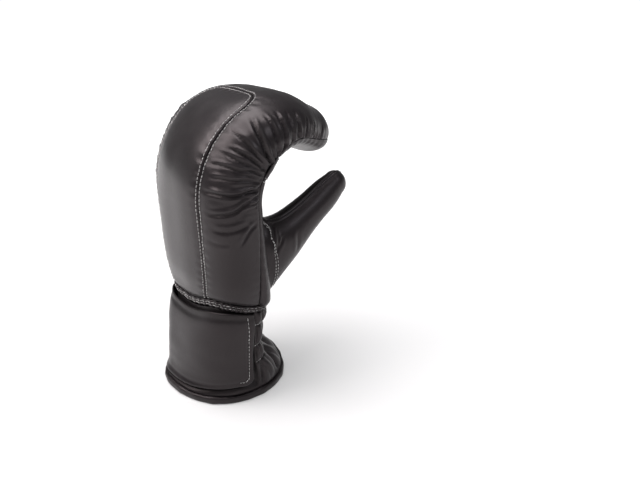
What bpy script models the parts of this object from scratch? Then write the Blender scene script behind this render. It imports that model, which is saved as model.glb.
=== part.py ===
"""Bag glove for the left hand, standing upright on its hem with the fist end curled over the palm.

Lengths are metres. +X is the way the palm faces, -Y the thumb side and +Z up. The origin is on the
floor under the middle of the glove. Every leather panel of the hand is a closed wall between an
outer sheet and the sheet of the hollow inside, and neighbours stop short of each other at the seams.
"""
from math import cos, pi, radians, sin, tan
from typing import NamedTuple

import bmesh
import bpy
from mathutils import Vector

GLOVE_NAME = "bag_glove"

# Shift that brings the middle of the whole glove over the origin
MIDDLE_SHIFT = Vector((-0.0298, -0.0053, 0.0))

# Joints between pieces
SEAM_PULL = 0.00025
PIECE_GAP = 0.0003
SEAM_DIP = 0.0012

# Hand: a straight run up the palm, a curl over the knuckles, a run down the fingers and a round end
WRIST_HEIGHT = 0.085
WRIST_FORWARD = -0.002
PALM_SLOPE = tan(radians(3.0))
PALM_RUN = 0.086
CURL_RADIUS = 0.052
CURL_ANGLE = radians(109.0)
FINGER_RUN = 0.020
END_ROUND = 0.017
END_WIDTH = 0.66
HAND_RUN = PALM_RUN + CURL_RADIUS * CURL_ANGLE + FINGER_RUN + END_ROUND * pi / 2

# Hollow of the hand: how far up the run it reaches, and its own round end
HOLLOW_REACH = 0.90
HOLLOW_ROUND = 0.009

# Seams of the hand, as angles round each section from the middle of the back
BACK_SEAM = radians(26.5)
BACK_END = 0.67
BACK_CORNER_SHARE = 0.065
BACK_CORNER_ANGLE = radians(14.0)
PALM_SEAM = radians(98.0)
PALM_SEAM_END = radians(90.0)
PALM_SEAM_TURN = 0.78
GRIP_START = 14
GRIP_END = 17

# Steps of the panel grids
RUN_STEPS = 28
CROSS_STEPS = 11
SIDE_STEPS = 6

# Gathers of the side leather on the inside of the curl
GATHER_DEPTH = 0.0011
GATHER_FROM = 0.36
GATHER_TO = 0.95
GATHER_EASE = 0.10


class HandSection(NamedTuple):
    """One section of the hand: half sizes, corner squareness and how thick the wall is on each side."""

    share: float
    thumb_side: float
    finger_side: float
    back: float
    palm: float
    squareness: float
    back_pad: float
    side_pad: float
    palm_pad: float


HAND_SECTIONS = (
    HandSection(0.00, 0.0655, 0.0440, 0.0295, 0.0290, 3.0, 0.0070, 0.0060, 0.0030),
    HandSection(0.10, 0.0690, 0.0570, 0.0310, 0.0250, 3.0, 0.0110, 0.0090, 0.0030),
    HandSection(0.28, 0.0690, 0.0640, 0.0330, 0.0220, 3.0, 0.0150, 0.0110, 0.0030),
    HandSection(0.45, 0.0665, 0.0665, 0.0350, 0.0185, 2.9, 0.0190, 0.0120, 0.0035),
    HandSection(0.59, 0.0650, 0.0730, 0.0350, 0.0145, 2.7, 0.0220, 0.0130, 0.0050),
    HandSection(0.72, 0.0570, 0.0800, 0.0310, 0.0145, 2.5, 0.0200, 0.0130, 0.0060),
    HandSection(0.86, 0.0430, 0.0780, 0.0245, 0.0160, 2.4, 0.0170, 0.0130, 0.0070),
    HandSection(1.00, 0.0330, 0.0680, 0.0240, 0.0220, 2.4, 0.0150, 0.0130, 0.0080),
)


class SleeveSection(NamedTuple):
    """One level of the wrist sleeve: centre, half sizes, corner squareness and depth of its gathers."""

    height: float
    forward: float
    thumb_side: float
    finger_side: float
    back: float
    palm: float
    squareness: float
    gather: float


SLEEVE_SECTIONS = (
    SleeveSection(0.0070, 0.000, 0.0640, 0.0310, 0.0530, 0.0500, 2.2, 0.0010),
    SleeveSection(0.0180, 0.000, 0.0635, 0.0280, 0.0470, 0.0380, 2.3, 0.0024),
    SleeveSection(0.0300, -0.001, 0.0630, 0.0250, 0.0440, 0.0260, 2.4, 0.0024),
    SleeveSection(0.0450, -0.002, 0.0630, 0.0250, 0.0410, 0.0200, 2.5, 0.0016),
    SleeveSection(0.0620, -0.002, 0.0635, 0.0320, 0.0370, 0.0220, 2.7, 0.0012),
    SleeveSection(0.0785, -0.002, 0.0635, 0.0410, 0.0305, 0.0270, 3.0, 0.0005),
)
SLEEVE_WALL = 0.0018
SLEEVE_GATHERS = 13
SLEEVE_GATHER_EDGE = radians(98.0)
SLEEVE_GATHER_EASE = 0.125
SLEEVE_PLAIN_STEPS = 24
SLEEVE_LEVELS = 7
SLEEVE_LEVEL_CROWDING = 1.25

# Binding round the wrist seam, between the hand and the sleeve
WRIST_BINDING_HEIGHT = 0.0058
WRIST_BINDING_INSET = 0.0012
WRIST_BINDING_WALL = 0.0026
WRIST_BINDING_LEVELS = (0.0, 0.25, 0.75, 1.0)
WRIST_BINDING_EDGE_INSET = 0.0022
RING_STEPS = 40

# Binding round the hem, which the glove stands on
HEM_BINDING_TOP = SLEEVE_SECTIONS[0].height - PIECE_GAP
HEM_BINDING_OUT = 0.0026
HEM_BINDING_IN = 0.0030
HEM_BINDING_EDGE = 0.0016

# Plate sewn over the back of the sleeve
PLATE_BOTTOM = 0.0120
PLATE_TOP = 0.0780
PLATE_WALL = 0.0028
PLATE_CLEAR = 0.0005
PLATE_FIRST_STEP = 0
PLATE_LAST_STEP = 23
PLATE_CORNER = 0.010
PLATE_LENGTH = 0.190
PLATE_LEVELS = 8


class VentHole(NamedTuple):
    """One hole punched through the palm: its middle, its height across and how far it is widened."""

    across: float
    height: float
    diameter: float
    widening: float


VENT_HOLES = (
    VentHole(0.007, 0.177, 0.0038, 1.0),
    VentHole(0.022, 0.160, 0.0038, 1.0),
    VentHole(0.001, 0.162, 0.0050, 1.8),
    VentHole(-0.021, 0.160, 0.0038, 1.0),
)
VENT_SIDES = 12
VENT_CUT_LENGTH = 0.030


class ThumbSection(NamedTuple):
    """One section of the thumb: share of its length, and half sizes in the plane of its bend and across."""

    share: float
    tall: float
    thick: float


THUMB_SECTIONS = (
    ThumbSection(0.00, 0.0330, 0.0215),
    ThumbSection(0.20, 0.0275, 0.0200),
    ThumbSection(0.45, 0.0215, 0.0170),
    ThumbSection(0.70, 0.0170, 0.0145),
    ThumbSection(0.88, 0.0140, 0.0125),
    ThumbSection(1.00, 0.0115, 0.0105),
)
THUMB_ROOT_Y = -0.043
THUMB_ROOT_Z = 0.122
THUMB_BEND = Vector((0.056, -0.044, 0.136))
THUMB_TIP = Vector((0.104, -0.040, 0.170))
THUMB_TURN = 0.45
THUMB_WALL = 0.0035
THUMB_SIDES = 16
THUMB_STEPS = 9
THUMB_TIP_STEPS = 3
THUMB_TIP_DEPTH = 0.011
THUMB_HOLLOW_TIP_DEPTH = 0.008
THUMB_TIP_CAP = 0.6
THUMB_CUT_INWARD = 0.016

SHARP_ANGLE = radians(40.0)


class Leather(NamedTuple):
    """Colour and roughness of one leather or binding."""

    name: str
    colour: tuple
    roughness: float


PADDED_LEATHER = Leather("black_leather", (0.018, 0.017, 0.019), 0.42)
PALM_LEATHER = Leather("black_palm_leather", (0.022, 0.020, 0.022), 0.50)
GATHERED_LEATHER = Leather("black_gathered_leather", (0.020, 0.019, 0.021), 0.48)
BINDING = Leather("black_binding", (0.012, 0.012, 0.013), 0.60)


def clear_scene():
    """Remove every object, so the glove is alone."""
    for found in list(bpy.data.objects):
        bpy.data.objects.remove(found, do_unlink=True)


def new_collection(name):
    collection = bpy.data.collections.new(name)
    bpy.context.scene.collection.children.link(collection)
    return collection


def material_of(leather):
    material = bpy.data.materials.new(leather.name)
    material.use_nodes = True
    shader = material.node_tree.nodes["Principled BSDF"]
    shader.inputs["Base Color"].default_value = (*leather.colour, 1.0)
    shader.inputs["Roughness"].default_value = leather.roughness
    shader.inputs["Metallic"].default_value = 0.0
    return material


def mix(first, second, share):
    return first + (second - first) * share


def smooth_step(share):
    share = min(max(share, 0.0), 1.0)
    return share * share * (3.0 - 2.0 * share)


def column_at(rows, key, column, place):
    """Smooth value of one column of a table at a place between its rows, through every row."""
    keys = [getattr(row, key) for row in rows]
    values = [getattr(row, column) for row in rows]
    place = min(max(place, keys[0]), keys[-1])
    slopes = []
    for index in range(len(rows)):
        before = max(index - 1, 0)
        after = min(index + 1, len(rows) - 1)
        slopes.append((values[after] - values[before]) / (keys[after] - keys[before]))
    index = max(i for i in range(len(rows) - 1) if keys[i] <= place)
    span = keys[index + 1] - keys[index]
    t = (place - keys[index]) / span
    return (
        (2 * t**3 - 3 * t**2 + 1) * values[index]
        + (t**3 - 2 * t**2 + t) * span * slopes[index]
        + (-2 * t**3 + 3 * t**2) * values[index + 1]
        + (t**3 - t**2) * span * slopes[index + 1]
    )


def signed_power(value, power):
    return abs(value) ** power if value >= 0.0 else -(abs(value) ** power)


def spine_at(run):
    """Centre of the hand at a length along it from the wrist, and the way its back faces there."""
    curl_run = CURL_RADIUS * CURL_ANGLE
    slope = PALM_SLOPE * min(run, PALM_RUN)
    turn = min(max(run - PALM_RUN, 0.0), curl_run) / CURL_RADIUS
    past = max(run - PALM_RUN - curl_run, 0.0)
    forward = slope + CURL_RADIUS * (1.0 - cos(turn)) + past * sin(turn)
    rise = min(run, PALM_RUN) + CURL_RADIUS * sin(turn) + past * cos(turn)
    centre = Vector((WRIST_FORWARD + forward, 0.0, WRIST_HEIGHT + rise))
    return centre, Vector((-cos(turn), 0.0, sin(turn)))


def section_point(share, angle, reach, end_round, wall):
    """Point on a sheet of the hand, which ends in a quarter round; wall 1 takes off the pads."""
    full_run = HAND_RUN * reach
    body_run = full_run - end_round * pi / 2
    over = max(share * full_run - body_run, 0.0) / end_round
    centre, back_way = spine_at(min(share * full_run, body_run) + end_round * sin(over))
    row = {
        column: column_at(HAND_SECTIONS, "share", column, share * reach)
        for column in HandSection._fields[1:]
    }
    across = signed_power(sin(angle), 2.0 / row["squareness"])
    outward = signed_power(cos(angle), 2.0 / row["squareness"])
    half_width = row["thumb_side"] if across > 0.0 else row["finger_side"]
    half_width = (half_width - wall * row["side_pad"]) * mix(END_WIDTH, 1.0, cos(over))
    back = row["back"] - wall * row["back_pad"]
    palm = row["palm"] - wall * row["palm_pad"]
    half_depth = (back if outward > 0.0 else palm) * cos(over)
    return centre + back_way * (outward * half_depth) + Vector((0.0, -across * half_width, 0.0))


def outer_point(share, angle):
    return section_point(share, angle, 1.0, END_ROUND, 0.0)


def inner_point(share, angle):
    return section_point(share, angle, HOLLOW_REACH, HOLLOW_ROUND, 1.0)


def palm_seam_angle(share):
    """Angle of the seam between the side leather and the palm, which comes round to the side at the tip."""
    turned = smooth_step((share - PALM_SEAM_TURN) / (1.0 - PALM_SEAM_TURN))
    return mix(PALM_SEAM, PALM_SEAM_END, turned)


def back_seam_leg(share_of_leg):
    """(share, angle) on one leg of the U seam, up to the middle of its rounded corner."""
    straight = BACK_END - BACK_CORNER_SHARE
    total = straight + BACK_CORNER_SHARE * pi / 4
    turn = max(share_of_leg * total - straight, 0.0) / BACK_CORNER_SHARE
    share = min(share_of_leg * total, straight) + BACK_CORNER_SHARE * sin(turn)
    return share, BACK_SEAM - BACK_CORNER_ANGLE * (1.0 - cos(turn))


def back_seam_end(share_of_end):
    """(share, angle) on the closed end of the U seam, from the middle of one corner to the other."""
    from_thumb = min(share_of_end, 1.0 - share_of_end)
    flat = BACK_SEAM - BACK_CORNER_ANGLE
    total = flat + BACK_CORNER_ANGLE * pi / 4
    left = from_thumb * 2.0 * total
    turn = pi / 4 + min(left / BACK_CORNER_ANGLE, pi / 4)
    share = BACK_END - BACK_CORNER_SHARE * (1.0 - sin(turn))
    angle = flat + BACK_CORNER_ANGLE * cos(turn) - max(left - BACK_CORNER_ANGLE * pi / 4, 0.0)
    return share, angle if share_of_end <= 0.5 else -angle


def back_panel_grid():
    """(share, angle) grid of the U-shaped panel, blended from its four edges."""
    first_corner = back_seam_leg(1.0)
    grid = []
    for step in range(RUN_STEPS + 1):
        up = step / RUN_STEPS
        leg_share, leg_angle = back_seam_leg(up)
        row = []
        for cross in range(CROSS_STEPS + 1):
            over = cross / CROSS_STEPS
            end_share, end_angle = back_seam_end(over)
            side = 1.0 - 2.0 * over
            share = leg_share + up * (end_share - first_corner[0])
            angle = leg_angle * side + up * (end_angle - first_corner[1] * side)
            row.append((share, angle))
        grid.append(row)
    return grid


def fist_panel_grid():
    """(share, angle) grid from the U seam out to the palm seam and the tip, wrist to wrist."""
    edges = []
    for step in range(RUN_STEPS + 1):
        share = step / RUN_STEPS
        edges.append((back_seam_leg(share), (share, palm_seam_angle(share))))
    for cross in range(1, CROSS_STEPS):
        over = cross / CROSS_STEPS
        edges.append((back_seam_end(over), (1.0, PALM_SEAM_END * (1.0 - 2.0 * over))))
    for step in range(RUN_STEPS, -1, -1):
        share = step / RUN_STEPS
        seam_share, seam_angle = back_seam_leg(share)
        edges.append(((seam_share, -seam_angle), (share, -palm_seam_angle(share))))
    grid = []
    for seam, rim in edges:
        row = []
        for step in range(SIDE_STEPS + 1):
            out = step / SIDE_STEPS
            row.append((mix(seam[0], rim[0], out), mix(seam[1], rim[1], out)))
        grid.append(row)
    return grid


def palm_side_grid(first_step, last_step):
    """(share, angle) grid of a panel on the palm side, between two steps of the run."""
    grid = []
    for step in range(first_step, last_step + 1):
        share = step / RUN_STEPS
        seam = palm_seam_angle(share)
        row = []
        for cross in range(CROSS_STEPS + 1):
            row.append((share, mix(seam, 2 * pi - seam, cross / CROSS_STEPS)))
        grid.append(row)
    return grid


def gather_dip(share, angle):
    """Depth of the gathers at a place on the side leather, deepest at the palm seam inside the curl."""
    spread = min(abs(angle), 2 * pi - abs(angle))
    near_seam = smooth_step((spread - BACK_SEAM) / (PALM_SEAM - BACK_SEAM))
    along = smooth_step((share - GATHER_FROM) / GATHER_EASE)
    along *= smooth_step((GATHER_TO - share) / GATHER_EASE)
    wave = 0.5 + 0.5 * cos(pi * RUN_STEPS * share)
    return GATHER_DEPTH * near_seam * along * wave


def is_edge(index, count):
    return index in (0, count - 1)


def sheets_of(grid, gathered):
    """Outer and inner sheets of a panel, with its edges sunk at the seams."""
    outer, inner = [], []
    for i, row in enumerate(grid):
        outer_row, inner_row = [], []
        for j, (share, angle) in enumerate(row):
            outside = outer_point(share, angle)
            inside = inner_point(share, angle)
            dip = SEAM_DIP if is_edge(i, len(grid)) or is_edge(j, len(row)) else 0.0
            if gathered:
                dip += gather_dip(share, angle)
            outer_row.append(outside + (inside - outside).normalized() * dip)
            inner_row.append(inside)
        outer.append(outer_row)
        inner.append(inner_row)
    return pulled_back(outer), pulled_back(inner)


def pulled_back(sheet):
    """The sheet with each edge moved a little towards the inside of its own panel."""
    rows, columns = len(sheet), len(sheet[0])
    moved = [[point.copy() for point in row] for row in sheet]
    for i in range(rows):
        for j in range(columns):
            for near_i, near_j in edge_neighbours(i, j, rows, columns):
                step = sheet[near_i][near_j] - sheet[i][j]
                if step.length > 0.0:
                    moved[i][j] += step.normalized() * SEAM_PULL
    return moved


def edge_neighbours(i, j, rows, columns):
    """Inward neighbours of a grid place that lies on an edge."""
    found = []
    if i == 0:
        found.append((1, j))
    if i == rows - 1:
        found.append((rows - 2, j))
    if j == 0:
        found.append((i, 1))
    if j == columns - 1:
        found.append((i, columns - 2))
    return found


def add_rim_face(mesh, first, second, third, fourth):
    """Two triangles over a rim's four corners, split the short way, as the neighbour's rim is."""
    if (first.co - third.co).length <= (second.co - fourth.co).length:
        mesh.faces.new((first, second, third))
        mesh.faces.new((first, third, fourth))
    else:
        mesh.faces.new((second, third, fourth))
        mesh.faces.new((second, fourth, first))


def add_walls(mesh, outer, inner, closed):
    """Faces of a wall between two grids of vertices; closed joins the last column to the first."""
    rows, columns = len(outer), len(outer[0])
    spans = columns if closed else columns - 1
    for i in range(rows - 1):
        for j in range(spans):
            k = (j + 1) % columns
            mesh.faces.new((outer[i][j], outer[i][k], outer[i + 1][k], outer[i + 1][j]))
            mesh.faces.new((inner[i][j], inner[i + 1][j], inner[i + 1][k], inner[i][k]))
    for j in range(spans):
        k = (j + 1) % columns
        add_rim_face(mesh, outer[0][j], inner[0][j], inner[0][k], outer[0][k])
        add_rim_face(mesh, outer[-1][j], outer[-1][k], inner[-1][k], inner[-1][j])
    if not closed:
        for i in range(rows - 1):
            add_rim_face(mesh, outer[i][0], outer[i + 1][0], inner[i + 1][0], inner[i][0])
            add_rim_face(mesh, outer[i][-1], inner[i][-1], inner[i + 1][-1], outer[i + 1][-1])


def finish_object(name, mesh_builder, material, collection):
    """Turn a finished bmesh into an object of the glove, faces outward and shaded smooth."""
    mesh_builder.normal_update()
    bmesh.ops.recalc_face_normals(mesh_builder, faces=mesh_builder.faces)
    mesh = bpy.data.meshes.new(name)
    mesh_builder.to_mesh(mesh)
    mesh_builder.free()
    mesh.shade_smooth()
    mesh.set_sharp_from_angle(angle=SHARP_ANGLE)
    made = bpy.data.objects.new(name, mesh)
    made.location = MIDDLE_SHIFT
    if material is not None:
        mesh.materials.append(material)
    collection.objects.link(made)
    return made


def wall_object(name, outer, inner, closed, material, collection):
    """A piece of the glove made as a wall between two grids of points."""
    builder = bmesh.new()
    outer_verts = [[builder.verts.new(point) for point in row] for row in outer]
    inner_verts = [[builder.verts.new(point) for point in row] for row in inner]
    add_walls(builder, outer_verts, inner_verts, closed)
    return finish_object(name, builder, material, collection)


def panel(name, grid, gathered, material, collection):
    outer, inner = sheets_of(grid, gathered)
    return wall_object(name, outer, inner, False, material, collection)


def ring_point(centre, back_way, angle, sizes, squareness):
    """Point of a closed section with its own half sizes on four sides."""
    thumb_side, finger_side, back, palm = sizes
    across = signed_power(sin(angle), 2.0 / squareness)
    outward = signed_power(cos(angle), 2.0 / squareness)
    side = thumb_side if across > 0.0 else finger_side
    depth = back if outward > 0.0 else palm
    return centre + back_way * (outward * depth) + Vector((0.0, -across * side, 0.0))


def wrist_binding(material, collection):
    """Narrow folded strip round the wrist seam."""
    wrist = HAND_SECTIONS[0]
    back_way = Vector((-1.0, 0.0, 0.0))
    outer, inner = [], []
    for share in WRIST_BINDING_LEVELS:
        height = WRIST_HEIGHT - PIECE_GAP - share * WRIST_BINDING_HEIGHT
        bulge = WRIST_BINDING_INSET if 0.0 < share < 1.0 else WRIST_BINDING_EDGE_INSET
        for rows, inset in ((outer, bulge), (inner, WRIST_BINDING_INSET + WRIST_BINDING_WALL)):
            sizes = [
                size - inset
                for size in (wrist.thumb_side, wrist.finger_side, wrist.back, wrist.palm)
            ]
            centre = Vector((WRIST_FORWARD, 0.0, height))
            rows.append([
                ring_point(centre, back_way, 2 * pi * step / RING_STEPS, sizes, wrist.squareness)
                for step in range(RING_STEPS)
            ])
    return wall_object("wrist_binding", outer, inner, True, material, collection)


def sleeve_angles():
    """Angles round the sleeve: plain steps over the back, and four to each gather on the palm side."""
    plain = [
        mix(-SLEEVE_GATHER_EDGE, SLEEVE_GATHER_EDGE, step / SLEEVE_PLAIN_STEPS)
        for step in range(SLEEVE_PLAIN_STEPS)
    ]
    gathered = [
        mix(SLEEVE_GATHER_EDGE, 2 * pi - SLEEVE_GATHER_EDGE, step / (3 * SLEEVE_GATHERS))
        for step in range(3 * SLEEVE_GATHERS)
    ]
    return plain + gathered


def sleeve_point(height, angle, inset):
    """Point on the sleeve at a height, moved in by an inset; gathers only show on the palm side."""
    row = {
        column: column_at(SLEEVE_SECTIONS, "height", column, height)
        for column in SleeveSection._fields[1:]
    }
    across = (angle - SLEEVE_GATHER_EDGE) / (2 * pi - 2 * SLEEVE_GATHER_EDGE)
    gather = 0.0
    if 0.0 < across < 1.0:
        edge = smooth_step(min(across, 1.0 - across) / SLEEVE_GATHER_EASE)
        gather = row["gather"] * edge * cos(2 * pi * SLEEVE_GATHERS * across)
    sizes = [row[side] - inset + gather for side in ("thumb_side", "finger_side", "back", "palm")]
    centre = Vector((row["forward"], 0.0, height))
    return ring_point(centre, Vector((-1.0, 0.0, 0.0)), angle, sizes, row["squareness"])


def wrist_sleeve(material, collection):
    """Gathered sleeve from the wrist binding down to the flared hem."""
    top = WRIST_HEIGHT - WRIST_BINDING_HEIGHT - 2 * PIECE_GAP
    bottom = SLEEVE_SECTIONS[0].height
    outer, inner = [], []
    for level in range(SLEEVE_LEVELS + 1):
        height = mix(bottom, top, (level / SLEEVE_LEVELS) ** SLEEVE_LEVEL_CROWDING)
        outer.append([sleeve_point(height, angle, 0.0) for angle in sleeve_angles()])
        inner.append([sleeve_point(height, angle, SLEEVE_WALL) for angle in sleeve_angles()])
    return wall_object("wrist_sleeve", outer, inner, True, material, collection)


def hem_binding(material, collection):
    """Binding rolled over the hem, with a flat underside that the glove stands on."""
    outline = [
        (HEM_BINDING_OUT - HEM_BINDING_EDGE, 0.0),
        (HEM_BINDING_OUT, HEM_BINDING_EDGE),
        (HEM_BINDING_OUT, HEM_BINDING_TOP - HEM_BINDING_EDGE),
        (HEM_BINDING_OUT - HEM_BINDING_EDGE, HEM_BINDING_TOP),
        (-HEM_BINDING_IN, HEM_BINDING_TOP),
        (-HEM_BINDING_IN, 0.0),
    ]
    builder = bmesh.new()
    rings = []
    for out, height in outline:
        ring = []
        for step in range(RING_STEPS):
            point = hem_point(2 * pi * step / RING_STEPS, out)
            ring.append(builder.verts.new((point.x, point.y, height)))
        rings.append(ring)
    for index, ring in enumerate(rings):
        following = rings[(index + 1) % len(rings)]
        for step in range(RING_STEPS):
            after = (step + 1) % RING_STEPS
            builder.faces.new((ring[step], ring[after], following[after], following[step]))
    return finish_object("hem_binding", builder, material, collection)


def hem_point(angle, out):
    """Point of the hem's outline, moved out from the sleeve's lowest section."""
    hem = SLEEVE_SECTIONS[0]
    sizes = [hem.thumb_side + out, hem.finger_side + out, hem.back + out, hem.palm + out]
    centre = Vector((hem.forward, 0.0, hem.height))
    return ring_point(centre, Vector((-1.0, 0.0, 0.0)), angle, sizes, hem.squareness)


def cuff_plate(material, collection):
    """Bare leather plate over the back of the sleeve, its two lower corners rounded."""
    outer, inner = [], []
    angles = sleeve_angles()[PLATE_FIRST_STEP : PLATE_LAST_STEP + 1]
    for level in range(PLATE_LEVELS + 1):
        outer_row, inner_row = [], []
        for cross, angle in enumerate(angles):
            lift = corner_lift(cross / (len(angles) - 1))
            height = mix(PLATE_BOTTOM + lift, PLATE_TOP, level / PLATE_LEVELS)
            outer_row.append(sleeve_point(height, angle, -PLATE_CLEAR - PLATE_WALL))
            inner_row.append(sleeve_point(height, angle, -PLATE_CLEAR))
        outer.append(outer_row)
        inner.append(inner_row)
    return wall_object("cuff_plate", outer, inner, False, material, collection)


def corner_lift(over):
    """How far the plate's lower edge is raised near its two ends, as a quarter round."""
    from_end = min(over, 1.0 - over) * PLATE_LENGTH
    if from_end >= PLATE_CORNER:
        return 0.0
    left = 1.0 - from_end / PLATE_CORNER
    return PLATE_CORNER * (1.0 - (1.0 - left * left) ** 0.5)


def palm_surface_x(y, z):
    """Forward place of the palm's outer sheet at a height on the straight run."""
    share = (z - WRIST_HEIGHT) / HAND_RUN
    column = "thumb_side" if y < 0.0 else "finger_side"
    half_width = column_at(HAND_SECTIONS, "share", column, share)
    palm = column_at(HAND_SECTIONS, "share", "palm", share)
    across = min(abs(y) / half_width, 1.0)
    squareness = column_at(HAND_SECTIONS, "share", "squareness", share)
    depth = palm * (1.0 - across**squareness) ** (1.0 / squareness)
    return spine_at(z - WRIST_HEIGHT)[0].x + depth


def thumb_root():
    return Vector((palm_surface_x(THUMB_ROOT_Y, THUMB_ROOT_Z), THUMB_ROOT_Y, THUMB_ROOT_Z))


def thumb_axis(share):
    """Point and heading on the thumb's curved centre line."""
    root = thumb_root()
    point = root * (1 - share) ** 2 + THUMB_BEND * 2 * share * (1 - share) + THUMB_TIP * share**2
    heading = (THUMB_BEND - root) * (1 - share) + (THUMB_TIP - THUMB_BEND) * share
    return point, heading.normalized()


def thumb_ring(share, scale, inset, forward):
    """Ring round the thumb; scale shrinks it for the round tip, forward moves it along the heading."""
    point, heading = thumb_axis(share)
    side_way = Vector((0.0, -1.0, 0.0))
    facing = Vector((1.0, 0.0, 0.0)).lerp(heading, smooth_step(share / THUMB_TURN)).normalized()
    up_way = side_way.cross(facing).normalized()
    tall = (column_at(THUMB_SECTIONS, "share", "tall", share) - inset) * scale
    thick = (column_at(THUMB_SECTIONS, "share", "thick", share) - inset) * scale
    ring = []
    for step in range(THUMB_SIDES):
        turn = 2 * pi * step / THUMB_SIDES
        ring.append(point + heading * forward + up_way * tall * cos(turn) + side_way * thick * sin(turn))
    return ring


def on_palm(ring, out):
    """The ring laid on the palm's outer sheet, out from it by a gap."""
    return [Vector((palm_surface_x(point.y, point.z) + out, point.y, point.z)) for point in ring]


def thumb_rings(inset, tip_depth):
    """Rings of one sheet of the thumb from the palm to its round tip."""
    rings = [on_palm(thumb_ring(0.0, 1.0, inset, 0.0), PIECE_GAP)]
    for step in range(1, THUMB_STEPS + 1):
        rings.append(thumb_ring(step / THUMB_STEPS, 1.0, inset, 0.0))
    for step in range(1, THUMB_TIP_STEPS + 1):
        turn = pi / 2 * step / (THUMB_TIP_STEPS + THUMB_TIP_CAP)
        rings.append(thumb_ring(1.0, cos(turn), inset, tip_depth * sin(turn)))
    return rings


def close_rings(builder, rings):
    """Faces between rings of vertices, and a cap over the last one."""
    for ring, following in zip(rings, rings[1:]):
        for step in range(len(ring)):
            after = (step + 1) % len(ring)
            builder.faces.new((ring[step], ring[after], following[after], following[step]))
    builder.faces.new(rings[-1])


def thumb(material, collection):
    """Hollow thumb, open to the hand at its root."""
    builder = bmesh.new()
    outer = [[builder.verts.new(p) for p in ring] for ring in thumb_rings(0.0, THUMB_TIP_DEPTH)]
    hollow = thumb_rings(THUMB_WALL, THUMB_HOLLOW_TIP_DEPTH)
    inner = [[builder.verts.new(p) for p in ring] for ring in hollow]
    close_rings(builder, outer)
    close_rings(builder, inner)
    for step in range(THUMB_SIDES):
        after = (step + 1) % THUMB_SIDES
        builder.faces.new((outer[0][step], outer[0][after], inner[0][after], inner[0][step]))
    return finish_object("thumb", builder, material, collection)


def thumb_cutter(collection):
    """Solid that opens the palm into the thumb."""
    builder = bmesh.new()
    first = on_palm(thumb_ring(0.0, 1.0, THUMB_WALL, 0.0), -THUMB_CUT_INWARD)
    last = on_palm(thumb_ring(0.0, 1.0, THUMB_WALL, 0.0), THUMB_CUT_INWARD)
    rings = [[builder.verts.new(p) for p in ring] for ring in (first, last)]
    close_rings(builder, rings)
    builder.faces.new(rings[0])
    return as_cutter(finish_object("cut_thumb", builder, None, collection))


def vent_cutter(number, hole, collection):
    """Round or oval pin that punches one vent hole through the palm."""
    builder = bmesh.new()
    bmesh.ops.create_cone(
        builder,
        cap_ends=True,
        segments=VENT_SIDES,
        radius1=hole.diameter / 2,
        radius2=hole.diameter / 2,
        depth=VENT_CUT_LENGTH,
    )
    middle = Vector((palm_surface_x(hole.across, hole.height), hole.across, hole.height))
    for vert in builder.verts:
        pin = vert.co.copy()
        vert.co = middle + Vector((pin.z, pin.y * hole.widening, -pin.x))
    return as_cutter(finish_object(f"cut_vent_{number}", builder, None, collection))


def as_cutter(cutter):
    cutter.hide_render = True
    cutter.display_type = "WIRE"
    return cutter


def cut(target, cutter):
    modifier = target.modifiers.new(f"open_{cutter.name}", "BOOLEAN")
    modifier.operation = "DIFFERENCE"
    modifier.object = cutter


def main():
    clear_scene()
    glove = new_collection(GLOVE_NAME)
    cutters = new_collection("cutters")
    padded = material_of(PADDED_LEATHER)
    plain = material_of(PALM_LEATHER)
    gathered = material_of(GATHERED_LEATHER)
    binding = material_of(BINDING)

    panel("back_panel", back_panel_grid(), False, padded, glove)
    panel("fist_panel", fist_panel_grid(), True, padded, glove)
    palm = panel("palm_panel", palm_side_grid(0, GRIP_START), False, plain, glove)
    panel("grip_band", palm_side_grid(GRIP_START, GRIP_END), False, plain, glove)
    panel("finger_panel", palm_side_grid(GRIP_END, RUN_STEPS), False, plain, glove)
    cut(palm, thumb_cutter(cutters))
    for number, hole in enumerate(VENT_HOLES, start=1):
        cut(palm, vent_cutter(number, hole, cutters))
    thumb(plain, glove)
    wrist_binding(binding, glove)
    wrist_sleeve(gathered, glove)
    cuff_plate(padded, glove)
    hem_binding(binding, glove)


main()
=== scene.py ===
"""Looks of the left-hand bag glove: stitched leather panels, closed thumb, gathered wrist and plate.

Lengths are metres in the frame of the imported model: +X is the way the palm faces, -Y the thumb side
and +Z up. Each leather piece is laid over the same form as its solid and then given seams, folds,
gathers and stitches.
"""

import logging
import random
from collections.abc import Sequence
from dataclasses import dataclass, field
from enum import Enum
from functools import cache, cached_property
from math import pi, radians, tan
from typing import NamedTuple

import bmesh
import bpy
import numpy as np
from bpy.types import Material, Node, NodeSocket, NodeTree, Object
from mathutils import Matrix, Vector, noise
from mathutils.bvhtree import BVHTree
from mathutils.kdtree import KDTree


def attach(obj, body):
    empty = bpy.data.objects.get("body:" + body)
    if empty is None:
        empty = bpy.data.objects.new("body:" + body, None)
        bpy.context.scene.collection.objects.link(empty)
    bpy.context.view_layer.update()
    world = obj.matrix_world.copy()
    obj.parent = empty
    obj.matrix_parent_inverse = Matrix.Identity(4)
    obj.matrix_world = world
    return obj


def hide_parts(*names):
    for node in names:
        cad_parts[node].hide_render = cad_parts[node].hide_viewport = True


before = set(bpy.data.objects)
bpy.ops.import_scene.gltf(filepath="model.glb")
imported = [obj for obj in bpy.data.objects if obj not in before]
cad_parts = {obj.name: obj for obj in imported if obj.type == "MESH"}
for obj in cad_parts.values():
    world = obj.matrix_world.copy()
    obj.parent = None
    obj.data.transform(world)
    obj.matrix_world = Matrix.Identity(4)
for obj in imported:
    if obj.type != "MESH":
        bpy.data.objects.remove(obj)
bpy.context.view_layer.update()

Array = np.ndarray
LOG = logging.getLogger("bag_glove")
BODY = "root"
MILLIMETRE = 0.001
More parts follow.
